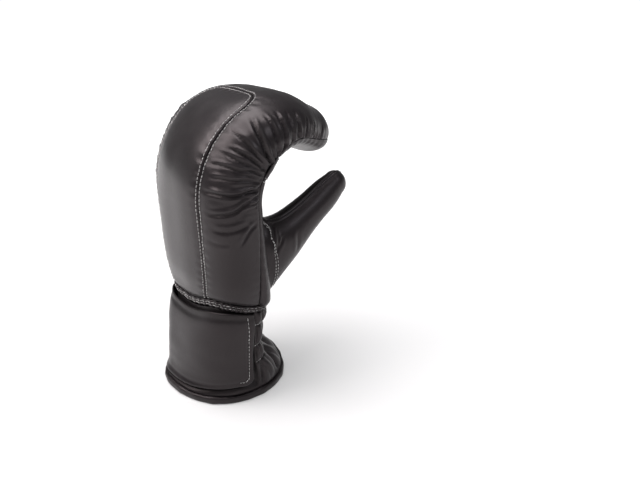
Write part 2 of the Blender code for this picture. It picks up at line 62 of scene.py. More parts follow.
MIDDLE_SHIFT = np.array((-0.0298, -0.0053, 0.0))
THUMB_WAY = np.array((0.0, -1.0, 0.0))
BACK_WAY = np.array((-1.0, 0.0, 0.0))


class Slot(Enum):
    """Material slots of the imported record."""

    PADDED = "padded_leather"
    PALM = "palm_leather"
    GATHERED = "gathered_leather"
    BINDING = "binding"


class Sheet(Enum):
    """The two sheets of the hand's wall."""

    OUTER = "outer"
    HOLLOW = "hollow"


class HandSection(NamedTuple):
    """One section of the hand: half sizes, corner squareness and wall thickness on each side."""

    share: float
    thumb_side: float
    finger_side: float
    back: float
    palm: float
    squareness: float
    back_pad: float
    side_pad: float
    palm_pad: float


class SleeveSection(NamedTuple):
    """One level of the wrist sleeve: centre, half sizes and corner squareness."""

    height: float
    forward: float
    thumb_side: float
    finger_side: float
    back: float
    palm: float
    squareness: float


class ThumbSection(NamedTuple):
    """One section of the thumb: share of its length and its two half sizes."""

    share: float
    tall: float
    thick: float


class CuffLift(NamedTuple):
    """How far the cuff's lines rise at an angle round it, in millimetres."""

    degrees: float
    wrist: float
    plate: float


class HandPlace(NamedTuple):
    """A numbered place on a line over the hand."""

    step: float
    share: float
    angle: float


class FoldRow(NamedTuple):
    """One fold of the side leather: its path as (share, degrees) pairs, depth and width in mm."""

    path: tuple[tuple[float, float], ...]
    depth: float
    width: float


def smooth_step(share: Array | float) -> Array:
    """Ease from 0 to 1."""
    share = np.clip(share, 0.0, 1.0)
    return share * share * (3.0 - 2.0 * share)


def signed_power(value: Array, power: Array | float) -> Array:
    """Power of a size that keeps its sign."""
    return np.sign(value) * np.abs(value) ** power


def bell(away: Array, width: float, power: float = 2.0) -> Array:
    """1 at a distance of 0, falling smoothly over a width."""
    return np.exp(-((np.abs(away) / width) ** power))


def unit(vectors: Array) -> Array:
    """Vectors of length 1 the same way."""
    return vectors / np.maximum(np.linalg.norm(vectors, axis=-1, keepdims=True), 1e-12)


def row_at(rows: Sequence, place: Array | float):
    """Read a table smoothly between its rows.

    Args:
        rows: The table's rows, in the order of their first column.
        place: Where to read, in the first column's units.

    Returns:
        A row whose columns hold a value for each place.
    """
    table = np.array(rows, float)
    keys = table[:, 0]
    place = np.clip(place, keys[0], keys[-1])
    order = np.arange(len(keys))
    before, after = np.maximum(order - 1, 0), np.minimum(order + 1, len(keys) - 1)
    slopes = (table[after] - table[before]) / (keys[after] - keys[before])[:, None]
    index = np.clip(np.searchsorted(keys, place, side="right") - 1, 0, len(keys) - 2)
    span = keys[index + 1] - keys[index]
    t = (place - keys[index]) / span
    columns = [
        (2 * t**3 - 3 * t**2 + 1) * column[index]
        + (t**3 - 2 * t**2 + t) * span * slope[index]
        + (-2 * t**3 + 3 * t**2) * column[index + 1]
        + (t**3 - t**2) * span * slope[index + 1]
        for column, slope in zip(table.T, slopes.T)
    ]
    return type(rows[0])(*columns)


def section_ring(centre: Array, back_way: Array, angle: Array, sizes: Sequence, squareness: Array) -> Array:
    """Points of rounded sections.

    Args:
        centre: Middle of each section.
        back_way: The way each section's back faces.
        angle: Angle round the section from the middle of the back to the thumb side.
        sizes: Half sizes to the thumb side, finger side, back and palm.
        squareness: How square the corners are; 2 is an ellipse.

    Returns:
        One point for each angle.
    """
    thumb_side, finger_side, back, palm = sizes
    across = signed_power(np.sin(angle), 2.0 / squareness)
    outward = signed_power(np.cos(angle), 2.0 / squareness)
    side = np.where(across > 0.0, thumb_side, finger_side)
    depth = np.where(outward > 0.0, back, palm)
    return centre + back_way * (outward * depth)[..., None] + THUMB_WAY * (across * side)[..., None]


def level_ring(row: NamedTuple, forward: Array, height: Array, angle: Array, out: Array) -> Array:
    """Points round level sections of the cuff.

    Args:
        row: The section's half sizes and squareness.
        forward: How far forward its middle lies.
        height: Height of each point.
        angle: Angle from the middle of the back to the thumb side.
        out: How far each point is moved out.

    Returns:
        One point for each angle.
    """
    nil = np.zeros(np.shape(angle))
    centre = np.stack((forward + nil, nil, height + nil), -1) + MIDDLE_SHIFT
    sizes = [size + out for size in (row.thumb_side, row.finger_side, row.back, row.palm)]
    return section_ring(centre, BACK_WAY, angle, sizes, row.squareness)


@dataclass(frozen=True)
class HandForm:
    """Form of the hand: a straight palm, a curl over the knuckles and a round finger end."""

    wrist_height: float = 0.085
    wrist_forward: float = -0.002
    palm_slope: float = tan(radians(3.0))
    palm_run: float = 0.086
    curl_radius: float = 0.052
    curl_angle: float = radians(109.0)
    finger_run: float = 0.020
    end_round: float = 0.017
    end_width: float = 0.66
    hollow_reach: float = 0.90
    hollow_round: float = 0.009
    back_seam: float = radians(26.5)
    back_end: float = 0.67
    corner_share: float = 0.065
    corner_angle: float = radians(14.0)
    palm_seam: float = radians(98.0)
    palm_seam_end: float = radians(90.0)
    palm_seam_turn: float = 0.78
    grip_low: float = 0.50
    grip_high: float = 17 / 28
    sections: tuple[HandSection, ...] = (
        HandSection(0.00, 0.0655, 0.0440, 0.0295, 0.0290, 3.0, 0.0070, 0.0060, 0.0030),
        HandSection(0.10, 0.0690, 0.0570, 0.0310, 0.0250, 3.0, 0.0110, 0.0090, 0.0030),
        HandSection(0.28, 0.0690, 0.0640, 0.0330, 0.0220, 3.0, 0.0150, 0.0110, 0.0030),
        HandSection(0.45, 0.0665, 0.0665, 0.0350, 0.0185, 2.9, 0.0190, 0.0120, 0.0035),
        HandSection(0.59, 0.0650, 0.0730, 0.0350, 0.0145, 2.7, 0.0220, 0.0130, 0.0050),
        HandSection(0.72, 0.0570, 0.0800, 0.0310, 0.0145, 2.5, 0.0200, 0.0130, 0.0060),
        HandSection(0.86, 0.0430, 0.0780, 0.0245, 0.0160, 2.4, 0.0170, 0.0130, 0.0070),
        HandSection(1.00, 0.0330, 0.0680, 0.0240, 0.0220, 2.4, 0.0150, 0.0130, 0.0080),
    )

    @property
    def run(self) -> float:
        """Length of the hand along its middle."""
        curl = self.curl_radius * self.curl_angle
        return self.palm_run + curl + self.finger_run + self.end_round * pi / 2

    def spine(self, run: Array) -> tuple[Array, Array]:
        """Middle of the hand at lengths along it, and the way its back faces there."""
        curl = self.curl_radius * self.curl_angle
        straight = np.minimum(run, self.palm_run)
        turn = np.clip(run - self.palm_run, 0.0, curl) / self.curl_radius
        past = np.maximum(run - self.palm_run - curl, 0.0)
        bend = self.curl_radius * (1.0 - np.cos(turn))
        forward = self.palm_slope * straight + bend + past * np.sin(turn)
        rise = straight + self.curl_radius * np.sin(turn) + past * np.cos(turn)
        level = np.zeros_like(forward)
        centre = np.stack((self.wrist_forward + forward, level, self.wrist_height + rise), -1)
        return centre + MIDDLE_SHIFT, np.stack((-np.cos(turn), level, np.sin(turn)), -1)

    def point(self, share: Array, angle: Array, sheet: Sheet = Sheet.OUTER) -> Array:
        """Points on one sheet of the hand's wall.

        Args:
            share: Share of the hand's length from the wrist.
            angle: Angle round the section from the middle of the back to the thumb side.
            sheet: The outer leather or the hollow inside.

        Returns:
            One point for each share and angle.
        """
        outer = sheet is Sheet.OUTER
        reach, wall = (1.0, 0.0) if outer else (self.hollow_reach, 1.0)
        end_round = self.end_round if outer else self.hollow_round
        full_run = self.run * reach
        body_run = full_run - end_round * pi / 2
        over = np.maximum(share * full_run - body_run, 0.0) / end_round
        middle = np.minimum(share * full_run, body_run) + end_round * np.sin(over)
        centre, back_way = self.spine(middle)
        row = row_at(self.sections, share * reach)
        narrowed = self.end_width + (1.0 - self.end_width) * np.cos(over)
        sizes = (
            (row.thumb_side - wall * row.side_pad) * narrowed,
            (row.finger_side - wall * row.side_pad) * narrowed,
            (row.back - wall * row.back_pad) * np.cos(over),
            (row.palm - wall * row.palm_pad) * np.cos(over),
        )
        return section_ring(centre, back_way, angle, sizes, row.squareness)

    def palm_seam_angle(self, share: Array | float) -> Array:
        """Angle of the seam between the side leather and the palm."""
        turned = smooth_step((share - self.palm_seam_turn) / (1.0 - self.palm_seam_turn))
        return self.palm_seam + (self.palm_seam_end - self.palm_seam) * turned

    def back_seam_leg(self, up: Array | float) -> tuple[Array, Array]:
        """(share, angle) on one leg of the U seam, up to the middle of its corner."""
        straight = self.back_end - self.corner_share
        total = straight + self.corner_share * pi / 4
        turn = np.maximum(up * total - straight, 0.0) / self.corner_share
        share = np.minimum(up * total, straight) + self.corner_share * np.sin(turn)
        return share, self.back_seam - self.corner_angle * (1.0 - np.cos(turn))

    def back_seam_end(self, over: Array) -> tuple[Array, Array]:
        """(share, angle) on the closed end of the U seam, from corner to corner."""
        from_thumb = np.minimum(over, 1.0 - over)
        flat = self.back_seam - self.corner_angle
        left = from_thumb * 2.0 * (flat + self.corner_angle * pi / 4)
        turn = pi / 4 + np.minimum(left / self.corner_angle, pi / 4)
        share = self.back_end - self.corner_share * (1.0 - np.sin(turn))
        angle = flat + self.corner_angle * np.cos(turn)
        angle = angle - np.maximum(left - self.corner_angle * pi / 4, 0.0)
        return share, np.where(over <= 0.5, angle, -angle)

    def palm_surface_x(self, y: float, z: float) -> float:
        """World x of the palm's leather on the thumb side of the straight run."""
        rise = np.array(z - self.wrist_height)
        row = row_at(self.sections, rise / self.run)
        across = (MIDDLE_SHIFT[1] - y) / row.thumb_side
        curve = (1.0 - across**row.squareness) ** (1.0 / row.squareness)
        return float(self.spine(rise)[0][0] + row.palm * curve)


HAND = HandForm()


def lengths_along(points: Array) -> Array:
    """Length along a path up to each of its points."""
    return np.concatenate(([0.0], np.cumsum(np.linalg.norm(np.diff(points, axis=0), axis=1))))


def spread(places: Array | float, lengths: Array, rows: Array) -> Array:
    """Rows read at places between their lengths along a path."""
    return np.stack([np.interp(places, lengths, column) for column in rows.T], -1)


class SurfaceLine:
    """A line over the leather: points close together and the way across it at each."""

    STEP = 0.0005

    def __init__(self, points: Array, normals: Array) -> None:
        """Spread the points evenly.

        Args:
            points: Places on the line, in order.
            normals: The way the leather faces at each place.
        """
        lengths = lengths_along(points)
        self.length = float(lengths[-1])
        places = np.linspace(0.0, self.length, max(int(self.length / self.STEP), 4))
        self.points = spread(places, lengths, points)
        along = unit(np.gradient(self.points, axis=0))
        self.across = np.cross(unit(spread(places, lengths, normals)), along)
        self.tree = KDTree(len(self.points))
        for index, point in enumerate(self.points):
            self.tree.insert(point, index)
        self.tree.balance()

    def measure(self, places: Array, reach: float) -> tuple[Array, ...]:
        """Distances from the line.

        Args:
            places: Points to measure from.
            reach: Distance past which a point doesn't matter.

        Returns:
            The indices of the points within reach, their distance, signed distance across and
            length along the line.
        """
        low, high = self.points.min(0) - reach, self.points.max(0) + reach
        near = np.nonzero(np.all((places > low) & (places < high), axis=1))[0]
        found = [self.tree.find(places[index]) for index in near]
        nearest_point = np.array([hit[1] for hit in found], int)
        distance = np.array([hit[2] for hit in found])
        keep = distance < reach
        near, nearest_point, distance = near[keep], nearest_point[keep], distance[keep]
        offset = places[near] - self.points[nearest_point]
        signed = np.einsum("ij,ij->i", offset, self.across[nearest_point])
        return near, distance, signed, nearest_point * self.length / (len(self.points) - 1)

    def shifted(self, offset: float) -> Array:
        """The line's points moved across it over the leather."""
        return self.points + self.across * offset


def hand_normals(share: Array, angle: Array) -> Array:
    """The way the smooth leather faces at each share and angle."""
    nudge = 0.002
    share = np.clip(share, nudge, 0.985)
    along = HAND.point(share + nudge, angle) - HAND.point(share - nudge, angle)
    around = HAND.point(share, angle + nudge) - HAND.point(share, angle - nudge)
    normal = unit(np.cross(along, around))
    inward = HAND.point(share, angle, Sheet.HOLLOW) - HAND.point(share, angle)
    return normal * np.sign(-np.einsum("ij,ij->i", normal, inward))[:, None]


def leather_line(share: Array, angle: Array) -> SurfaceLine:
    """Line over the hand's smooth outer leather."""
    return SurfaceLine(HAND.point(share, angle), hand_normals(share, angle))


def hand_line(pairs: Sequence[tuple[float, float]]) -> SurfaceLine:
    """Rounded line over the hand's leather through (share, angle in radians) places."""
    rows = [HandPlace(step, *pair) for step, pair in enumerate(pairs)]
    fine = row_at(rows, np.linspace(0, len(rows) - 1, 24 * (len(rows) - 1) + 1))
    return leather_line(fine.share, fine.angle)


@dataclass
class LeatherSheet:
    """A sheet of leather: a fine grid laid over a form, then lifted and sunk along its normals."""

    columns: int
    rows: int
    merge: float = 1e-5

    def __post_init__(self) -> None:
        """Make the flat grid, with a layer for each vertex's lift in millimetres."""
        self.mesh = bmesh.new()
        self.relief = self.mesh.verts.layers.float.new("relief")
        bmesh.ops.create_grid(self.mesh, x_segments=self.columns, y_segments=self.rows, size=0.5)
        self.u, self.v = (self.read("co")[:, :2] + 0.5).T

    def read(self, name: str) -> Array:
        """Place or normal of every vertex."""
        return np.array([getattr(vert, name) for vert in self.mesh.verts], float)

    def move(self, points: Array) -> None:
        """Put every vertex in its new place."""
        for vert, point in zip(self.mesh.verts, points):
            vert.co = point
        self.mesh.normal_update()

    def lay(self, points: Array, inside: Array) -> None:
        """Lay the grid over a form, facing out.

        Args:
            points: New place of each vertex.
            inside: A place inside the form for each vertex.
        """
        self.move(points)
        if np.median(np.einsum("ij,ij->i", self.read("normal"), points - inside)) < 0.0:
            bmesh.ops.reverse_faces(self.mesh, faces=self.mesh.faces[:])
            self.mesh.normal_update()

    def lift(self, heights: Array) -> None:
        """Move each vertex out along its normal, and note by how much."""
        self.move(self.read("co") + self.read("normal") * heights[:, None])
        for vert, height in zip(self.mesh.verts, heights):
            vert[self.relief] = height / MILLIMETRE

    def close(self) -> None:
        """Merge the vertices that lie on each other, where the sheet comes round to itself."""
        bmesh.ops.remove_doubles(self.mesh, verts=self.mesh.verts[:], dist=self.merge)

    def piece(self, name: str, wall: float, material: Material) -> Object:
        """Turn the sheet into a piece.

        Args:
            name: Name of the piece.
            wall: Thickness of the leather, or 0 for a closed form.
            material: Its finish.

        Returns:
            The finished object.
        """
        made = piece_from(self.mesh, name, material)
        if wall > 0.0:
            modifier = made.modifiers.new("wall", "SOLIDIFY")
            modifier.thickness = wall
            modifier.offset = -1.0
            modifier.use_even_offset = False
        return made


def piece_from(builder: bmesh.types.BMesh, name: str, material: Material) -> Object:
    """Turn a bmesh into an object of the glove, shaded smooth."""
    mesh = bpy.data.meshes.new(name)
    builder.to_mesh(mesh)
    builder.free()
    mesh.shade_smooth()
    mesh.materials.append(material)
    made = bpy.data.objects.new(name, mesh)
    bpy.context.scene.collection.objects.link(made)
    return made


def uneven(places: Array, depth: float, wavelength: float, seed: float) -> Array:
    """Gentle unevenness of a depth over about a wavelength, the same each run."""
    offset = Vector((seed * 3.1, seed * 1.7, seed * 2.3))
    return depth * np.array([noise.noise(Vector(place) / wavelength + offset) for place in places])


@dataclass(frozen=True)
class Seam:
    """A seam between two leather edges: a narrow groove with rounded, puckered shoulders."""

    line: SurfaceLine
    depth: float = 0.0006
    shoulder: float = 0.0007
    pucker: float = 0.00030
    pucker_pitch: float = 0.0085
    crown: float = 0.0002
    reach: float = 0.020

    def heights(self, places: Array) -> Array:
        """How far the seam sinks or lifts each place."""
        result = np.zeros(len(places))
        near, distance, signed, along = self.line.measure(places, self.reach)
        groove = -self.depth * bell(distance, self.shoulder, 1.4)
        crown = self.crown * bell(distance - 0.0070, 0.0055)
        wander = np.sin(along / 0.031) + 0.6 * np.sin(along / 0.0173 + 1.0)
        wave = np.cos(2 * pi * along / self.pucker_pitch + 1.8 * wander)
        strength = 0.55 + 0.45 * np.sin(along / 0.019 + np.sign(signed))
        result[near] = groove + crown - self.pucker * strength * wave * bell(distance - 0.003, 0.0045)
        return result


@dataclass(frozen=True)
class Fold:
    """A crease in the leather with a raised lip beside it, fading at both ends."""

    line: SurfaceLine
    depth: float
    width: float
    lip: float = 0.75
    far_lip: float = 0.35
    start_fade: float = 0.35
    end_fade: float = 0.10
    sharpness: float = 1.2

    def heights(self, places: Array) -> Array:
        """How far the fold sinks or lifts each place."""
        result = np.zeros(len(places))
        near, distance, signed, along = self.line.measure(places, self.width * 5.0)
        share = along / self.line.length
        fade = smooth_step(share / self.start_fade) * smooth_step((1.0 - share) / self.end_fade)
        side = np.where(signed > 0.0, self.lip, self.far_lip)
        lift = side * bell(distance / self.width - 1.7, 1.25)
        result[near] = self.depth * fade * (lift - bell(distance, self.width, self.sharpness))
        return result


def pressed(places: Array, *marks: Seam | Fold) -> Array:
    """Heights of several seams or folds together."""
    return sum(mark.heights(places) for mark in marks)


SIDE_FOLDS = (
    FoldRow(((0.615, 38), (0.604, 50), (0.590, 66), (0.580, 79), (0.565, 89), (0.550, 96)), 2.3, 1.9),
    FoldRow(((0.528, 42), (0.530, 56), (0.533, 72), (0.534, 85), (0.532, 96)), 1.9, 1.7),
    FoldRow(((0.480, 30), (0.486, 42), (0.490, 56), (0.493, 70), (0.506, 84), (0.516, 97)), 1.5, 1.7),
    FoldRow(((0.480, 62), (0.486, 74), (0.494, 84), (0.502, 96)), 1.1, 1.4),
    FoldRow(((0.424, 29), (0.425, 42), (0.426, 56), (0.430, 72), (0.444, 85), (0.474, 97)), 1.9, 1.8),
    FoldRow(((0.380, 30), (0.378, 46), (0.382, 62), (0.392, 76), (0.418, 88), (0.452, 97)), 1.5, 1.9),
    FoldRow(((0.566, 31), (0.562, 44), (0.558, 58), (0.552, 72), (0.545, 86), (0.540, 96)), 1.6, 1.7),
    FoldRow(((0.512, 33), (0.513, 46), (0.513, 60), (0.515, 74), (0.520, 90)), 1.1, 1.6),
    FoldRow(((0.455, 34), (0.460, 50), (0.466, 66), (0.478, 82), (0.490, 96)), 1.2, 1.7),
    FoldRow(((0.674, 48), (0.668, 62), (0.664, 76), (0.652, 88), (0.628, 99)), 2.0, 1.7),
    FoldRow(((0.728, 54), (0.725, 68), (0.724, 82), (0.722, 96)), 1.8, 1.5),
    FoldRow(((0.640, 44), (0.638, 56), (0.634, 70), (0.622, 84), (0.600, 97)), 1.4, 1.5),
    FoldRow(((0.700, 52), (0.697, 64), (0.694, 80), (0.684, 96)), 1.1, 1.3),
    FoldRow(((0.765, 62), (0.766, 74), (0.762, 88), (0.752, 97)), 1.1, 1.3),
    FoldRow(((0.800, 66), (0.806, 78), (0.804, 92)), 0.8, 1.2),
    FoldRow(((0.330, 36), (0.326, 54), (0.330, 72), (0.342, 88)), 0.6, 2.6),
    FoldRow(((0.285, 34), (0.280, 50), (0.282, 66)), 0.4, 2.8),
    FoldRow(((0.262, 76), (0.300, 84), (0.345, 92)), 0.8, 2.0),
)


@dataclass(frozen=True)
class Gathers:
    """Fine pleats of the side leather where it is eased onto the palm seam inside the curl."""

    first_share: float = 0.405
    last_share: float = 0.885
    count: int = 27
    gather_point: float = 0.520
    seed: int = 11

    def folds(self, side: float) -> list[Fold]:
        """Pleats for the thumb side (side 1) or the finger side (side -1)."""
        draw = random.Random(self.seed + int(side))
        made = []
        for index in range(self.count):
            share = self.first_share + (self.last_share - self.first_share) * index / self.count
            share += draw.uniform(-0.004, 0.004)
            reach = draw.uniform(15.0, 34.0)
            drift = 0.030 * np.tanh((share - self.gather_point) / 0.06)
            drift *= 1.0 - float(smooth_step((share - 0.66) / 0.10))
            edge = 98.0 + draw.uniform(-2.0, 1.0)
            path = [(share + drift * t, side * radians(edge - reach * t)) for t in (1.0, 0.66, 0.33, 0.0)]
            depth = draw.uniform(0.7, 1.5) * MILLIMETRE
            width = draw.uniform(0.75, 1.1) * MILLIMETRE
            made.append(Fold(hand_line(path), depth, width, start_fade=0.75, end_fade=0.12))
        return made


class HandSeams:
    """The seams of the hand."""

    def __init__(self) -> None:
        """Lay out the U seam, both palm seams, the tip seam and the two grip seams."""
        leg_share, leg_angle = HAND.back_seam_leg(np.linspace(0.0, 1.0, 160))
        end_share, end_angle = HAND.back_seam_end(np.linspace(0.0, 1.0, 60)[1:-1])
        share = np.concatenate((leg_share, end_share, leg_share[::-1]))
        angle = np.concatenate((leg_angle, end_angle, -leg_angle[::-1]))
        self.back = Seam(leather_line(share, angle))
        run = np.linspace(0.0, 1.0, 240)
        edge = HAND.palm_seam_angle(run)
        self.palm = [Seam(leather_line(run, way * edge), pucker=0.0002, crown=0.0003) for way in (1, -1)]
        turn = np.linspace(HAND.palm_seam_end, -HAND.palm_seam_end, 80)
        self.tip = Seam(leather_line(np.ones_like(turn), turn), pucker=0.0005)
        self.grip_low, self.grip_high = map(self.across_palm, (HAND.grip_low, HAND.grip_high))

    @staticmethod
    def across_palm(share: float) -> Seam:
        """Seam across the palm at one share."""
        edge = float(HAND.palm_seam_angle(share))
        angle = np.linspace(edge, 2 * pi - edge, 90)
        return Seam(leather_line(np.full_like(angle, share), angle))


class Shading:
    """Short ways to add nodes to one node tree."""

    def __init__(self, tree: NodeTree) -> None:
        """Work on a tree."""
        self.tree = tree

    @cached_property
    def place(self) -> NodeSocket:
        """The object's own coordinates."""
        return self.add("TexCoord", {}).outputs["Object"]

    def feed(self, node: Node, inputs: dict) -> None:
        """Link or set a node's inputs, by name or number."""
        for name, value in inputs.items():
            if isinstance(value, NodeSocket):
                self.tree.links.new(value, node.inputs[name])
            else:
                node.inputs[name].default_value = value

    def add(self, kind: str, inputs: dict, **settings: object) -> Node:
        """Add a shader node.

        Args:
            kind: Its type, without the leading ShaderNode.
            inputs: A socket, number or colour for each input.
            settings: The node's own settings.

        Returns:
            The node.
        """
        node = self.tree.nodes.new(f"ShaderNode{kind}")
        for name, value in settings.items():
            setattr(node, name, value)
        self.feed(node, inputs)
        return node

    def math(self, operation: str, *values: object, clamp: bool = False) -> NodeSocket:
        """Math node fed by numbers or sockets; gives its output."""
        return self.add("Math", dict(enumerate(values)), operation=operation, use_clamp=clamp).outputs[0]

    def ranged(self, value: NodeSocket, *limits: float) -> NodeSocket:
        """Map Range node from (from low, from high, to low, to high); gives its output."""
        labels = ("From Min", "From Max", "To Min", "To Max")
        return self.add("MapRange", {"Value": value, **dict(zip(labels, limits))}).outputs[0]

    def noise(self, scale: float, detail: float = 2.0) -> NodeSocket:
        """Noise over the object's own coordinates; gives its factor."""
        inputs = {"Vector": self.place, "Scale": scale, "Detail": detail}
        return self.add("TexNoise", inputs).outputs["Fac"]

    def mix(self, factor: NodeSocket, first: object, last: object) -> NodeSocket:
        """Mix of two colours; gives its result."""
        inputs = {"Factor": factor, "A": first, "B": last}
        return self.add("Mix", inputs, data_type="RGBA").outputs["Result"]

    def surface(self, inputs: dict) -> None:
        """Feed the Principled shader."""
        self.feed(self.tree.nodes["Principled BSDF"], inputs)

    def bump(self, height: NodeSocket, depth: float) -> None:
        """Give the Principled shader a bump of a depth."""
        bump = self.add("Bump", {"Distance": depth, "Height": height})
        self.surface({"Normal": bump.outputs["Normal"]})


def principled(name: str) -> tuple[Material, Shading]:
    """New material with a Principled shader, and its nodes."""
    made = bpy.data.materials.new(name)
    made.use_nodes = True
    return made, Shading(made.node_tree)


@cache
def leather_group() -> NodeTree:
    """Shared leather group: pebbled grain, small creases, worn ridges and painted shade in the sunk
    hollows.

    Returns:
        The group, built once.
    """
    group = bpy.data.node_groups.new("leather_surface", "ShaderNodeTree")
    colour, number = "NodeSocketColor", "NodeSocketFloat"
    inputs = {"Colour": colour, "Worn Colour": colour}
    inputs.update(dict.fromkeys(("Roughness", "Grain", "Creases"), number))
    outputs = {"Colour": colour, "Roughness": number, "Height": number}
    for way, sockets in (("INPUT", inputs), ("OUTPUT", outputs)):
        for name, kind in sockets.items():
            group.interface.new_socket(name, in_out=way, socket_type=kind)
    shading = Shading(group)
    math, ranged = shading.math, shading.ranged
    asked = group.nodes.new("NodeGroupInput").outputs
    pebble = shading.add("TexVoronoi", {"Scale": 1250.0, "Vector": shading.place}, feature="SMOOTH_F1")
    grain = math("ADD", pebble.outputs["Distance"], math("MULTIPLY", shading.noise(2600.0), 0.5))
    ridge = math("ABSOLUTE", math("SUBTRACT", shading.noise(165.0, 3.0), 0.5))
    patch = shading.noise(38.0)
    creased = math("MULTIPLY", ranged(ridge, 0.0, 0.045, -1.0, 0.0), ranged(patch, 0.42, 0.68, 0.0, 1.0))
    height = math(
        "ADD", math("MULTIPLY", grain, asked["Grain"]), math("MULTIPLY", creased, asked["Creases"])
    )
    relief = shading.add("Attribute", {}, attribute_name="relief").outputs["Fac"]
    # sunk marks the sunk relief (seam grooves, creases), where shade is painted into the colour and the
    # roughness is raised.
    raised, sunk = ranged(relief, 0.15, 1.1, 0.0, 1.0), ranged(relief, -1.6, -0.2, 1.0, 0.0)
    worn = math("MULTIPLY", raised, ranged(patch, 0.35, 0.6, 0.35, 1.0), clamp=True)
    rubbed = shading.mix(worn, asked["Colour"], asked["Worn Colour"])
    # Painted shade: the colour is darkened towards near-black where the relief is sunk, in seam grooves and
    # creases.
    shaded = shading.mix(math("MULTIPLY", sunk, 0.55), rubbed, (0.004, 0.004, 0.004, 1.0))
    mottled = ranged(shading.noise(420.0), 0.3, 0.7, -0.02, 0.03)
    rough = math("ADD", math("ADD", asked["Roughness"], ranged(patch, 0.3, 0.7, -0.035, 0.045)), mottled)
    rough = math("ADD", rough, math("MULTIPLY", sunk, 0.12))
    rough = math("SUBTRACT", rough, math("MULTIPLY", worn, 0.05), clamp=True)
    result = group.nodes.new("NodeGroupOutput")
    shading.feed(result, {"Colour": shaded, "Roughness": rough, "Height": height})
    return group


@dataclass(frozen=True)
class LeatherFinish:
    """Black leather: gloss, fine grain, small creases, coat, colour and the wear on its ridges."""

    slot: Slot
    roughness: float
    grain: float
    creases: float
    coat: float
    colour: tuple[float, float, float] = (0.0080, 0.0064, 0.0074)
    worn: tuple[float, float, float] = (0.0180, 0.0160, 0.0170)
    specular: float = 0.34
    tint: tuple[float, float, float] = (1.0, 0.88, 0.89)
    coat_roughness: float = 0.28

    def material(self) -> Material:
        """Build the material, fed by the shared leather group."""
        made, shading = principled(self.slot.value)
        inputs = {
            "Colour": (*self.colour, 1.0),
            "Worn Colour": (*self.worn, 1.0),
            "Roughness": self.roughness,
            "Grain": self.grain,
            "Creases": self.creases,
        }
        outputs = shading.add("Group", inputs, node_tree=leather_group()).outputs
        shading.surface(
            {
                "Base Color": outputs["Colour"],
                "Roughness": outputs["Roughness"],
                "Specular IOR Level": self.specular,
                "Specular Tint": (*self.tint, 1.0),
                "Coat Weight": self.coat,
                "Coat Roughness": self.coat_roughness,
            }
        )
        shading.bump(outputs["Height"], MILLIMETRE)
        return made


@dataclass(frozen=True)
class ThreadFinish:
    """Twisted sewing thread: off-white, a little dirty, with fine fibres."""

    colour: tuple[float, float, float] = (0.62, 0.61, 0.60)
    shade: tuple[float, float, float] = (0.30, 0.29, 0.29)

    def material(self) -> Material:
        """Build the material."""
        made, shading = principled("white_thread")
        soil = shading.ranged(shading.noise(260.0), 0.35, 0.7, 0.0, 1.0)
        colour = shading.mix(soil, (*self.colour, 1.0), (*self.shade, 1.0))
        shading.surface({"Base Color": colour, "Roughness": 0.7})
        shading.bump(shading.noise(4200.0), 0.1 * MILLIMETRE)
        return made


@dataclass(frozen=True)
class LiningFinish:
    """Plain woven lining of the inside."""

    colour: tuple[float, float, float] = (0.016, 0.016, 0.018)
    ridge: tuple[float, float, float] = (0.045, 0.045, 0.048)
    threads: float = 70.0

    def material(self) -> Material:
        """Build the material from two crossing wave textures."""
        made, shading = principled("black_lining")
        inputs = {"Scale": self.threads, "Vector": shading.place}
        waves = [shading.add("TexWave", inputs, bands_direction=way).outputs["Fac"] for way in "XZ"]
        weave = shading.math("MAXIMUM", *waves)
        colour = shading.mix(weave, (*self.colour, 1.0), (*self.ridge, 1.0))
        shading.surface({"Base Color": colour, "Roughness": 0.85})
        shading.bump(weave, 0.2 * MILLIMETRE)
        return made


class Finishes:
    """Every finish of the glove, built once."""

    def __init__(self) -> None:
        """Build the materials."""
        leathers = (
            LeatherFinish(Slot.PADDED, roughness=0.34, grain=0.045, creases=0.05, coat=0.06),
            LeatherFinish(Slot.PALM, roughness=0.38, grain=0.055, creases=0.09, coat=0.05),
            LeatherFinish(Slot.GATHERED, roughness=0.40, grain=0.05, creases=0.10, coat=0.02),
            LeatherFinish(Slot.BINDING, roughness=0.40, grain=0.05, creases=0.05, coat=0.03),
        )
        self.leather = {finish.slot: finish.material() for finish in leathers}
        self.thread = ThreadFinish().material()
        self.lining = LiningFinish().material()


@cache
def surface_of(leather: Object) -> BVHTree:
    """Search tree over a finished piece's own mesh."""
    mesh = leather.data
    corners = [vert.co for vert in mesh.vertices]
    return BVHTree.FromPolygons(corners, [face.vertices for face in mesh.polygons])


def nearest(spot: Vector, leathers: Sequence[Object]) -> tuple[Vector, Vector]:
    """The nearest place on some leathers, and the way it faces."""
    hits = [surface_of(leather).find_nearest(spot) for leather in leathers]
    return min(hits, key=lambda hit: hit[3])[:2]


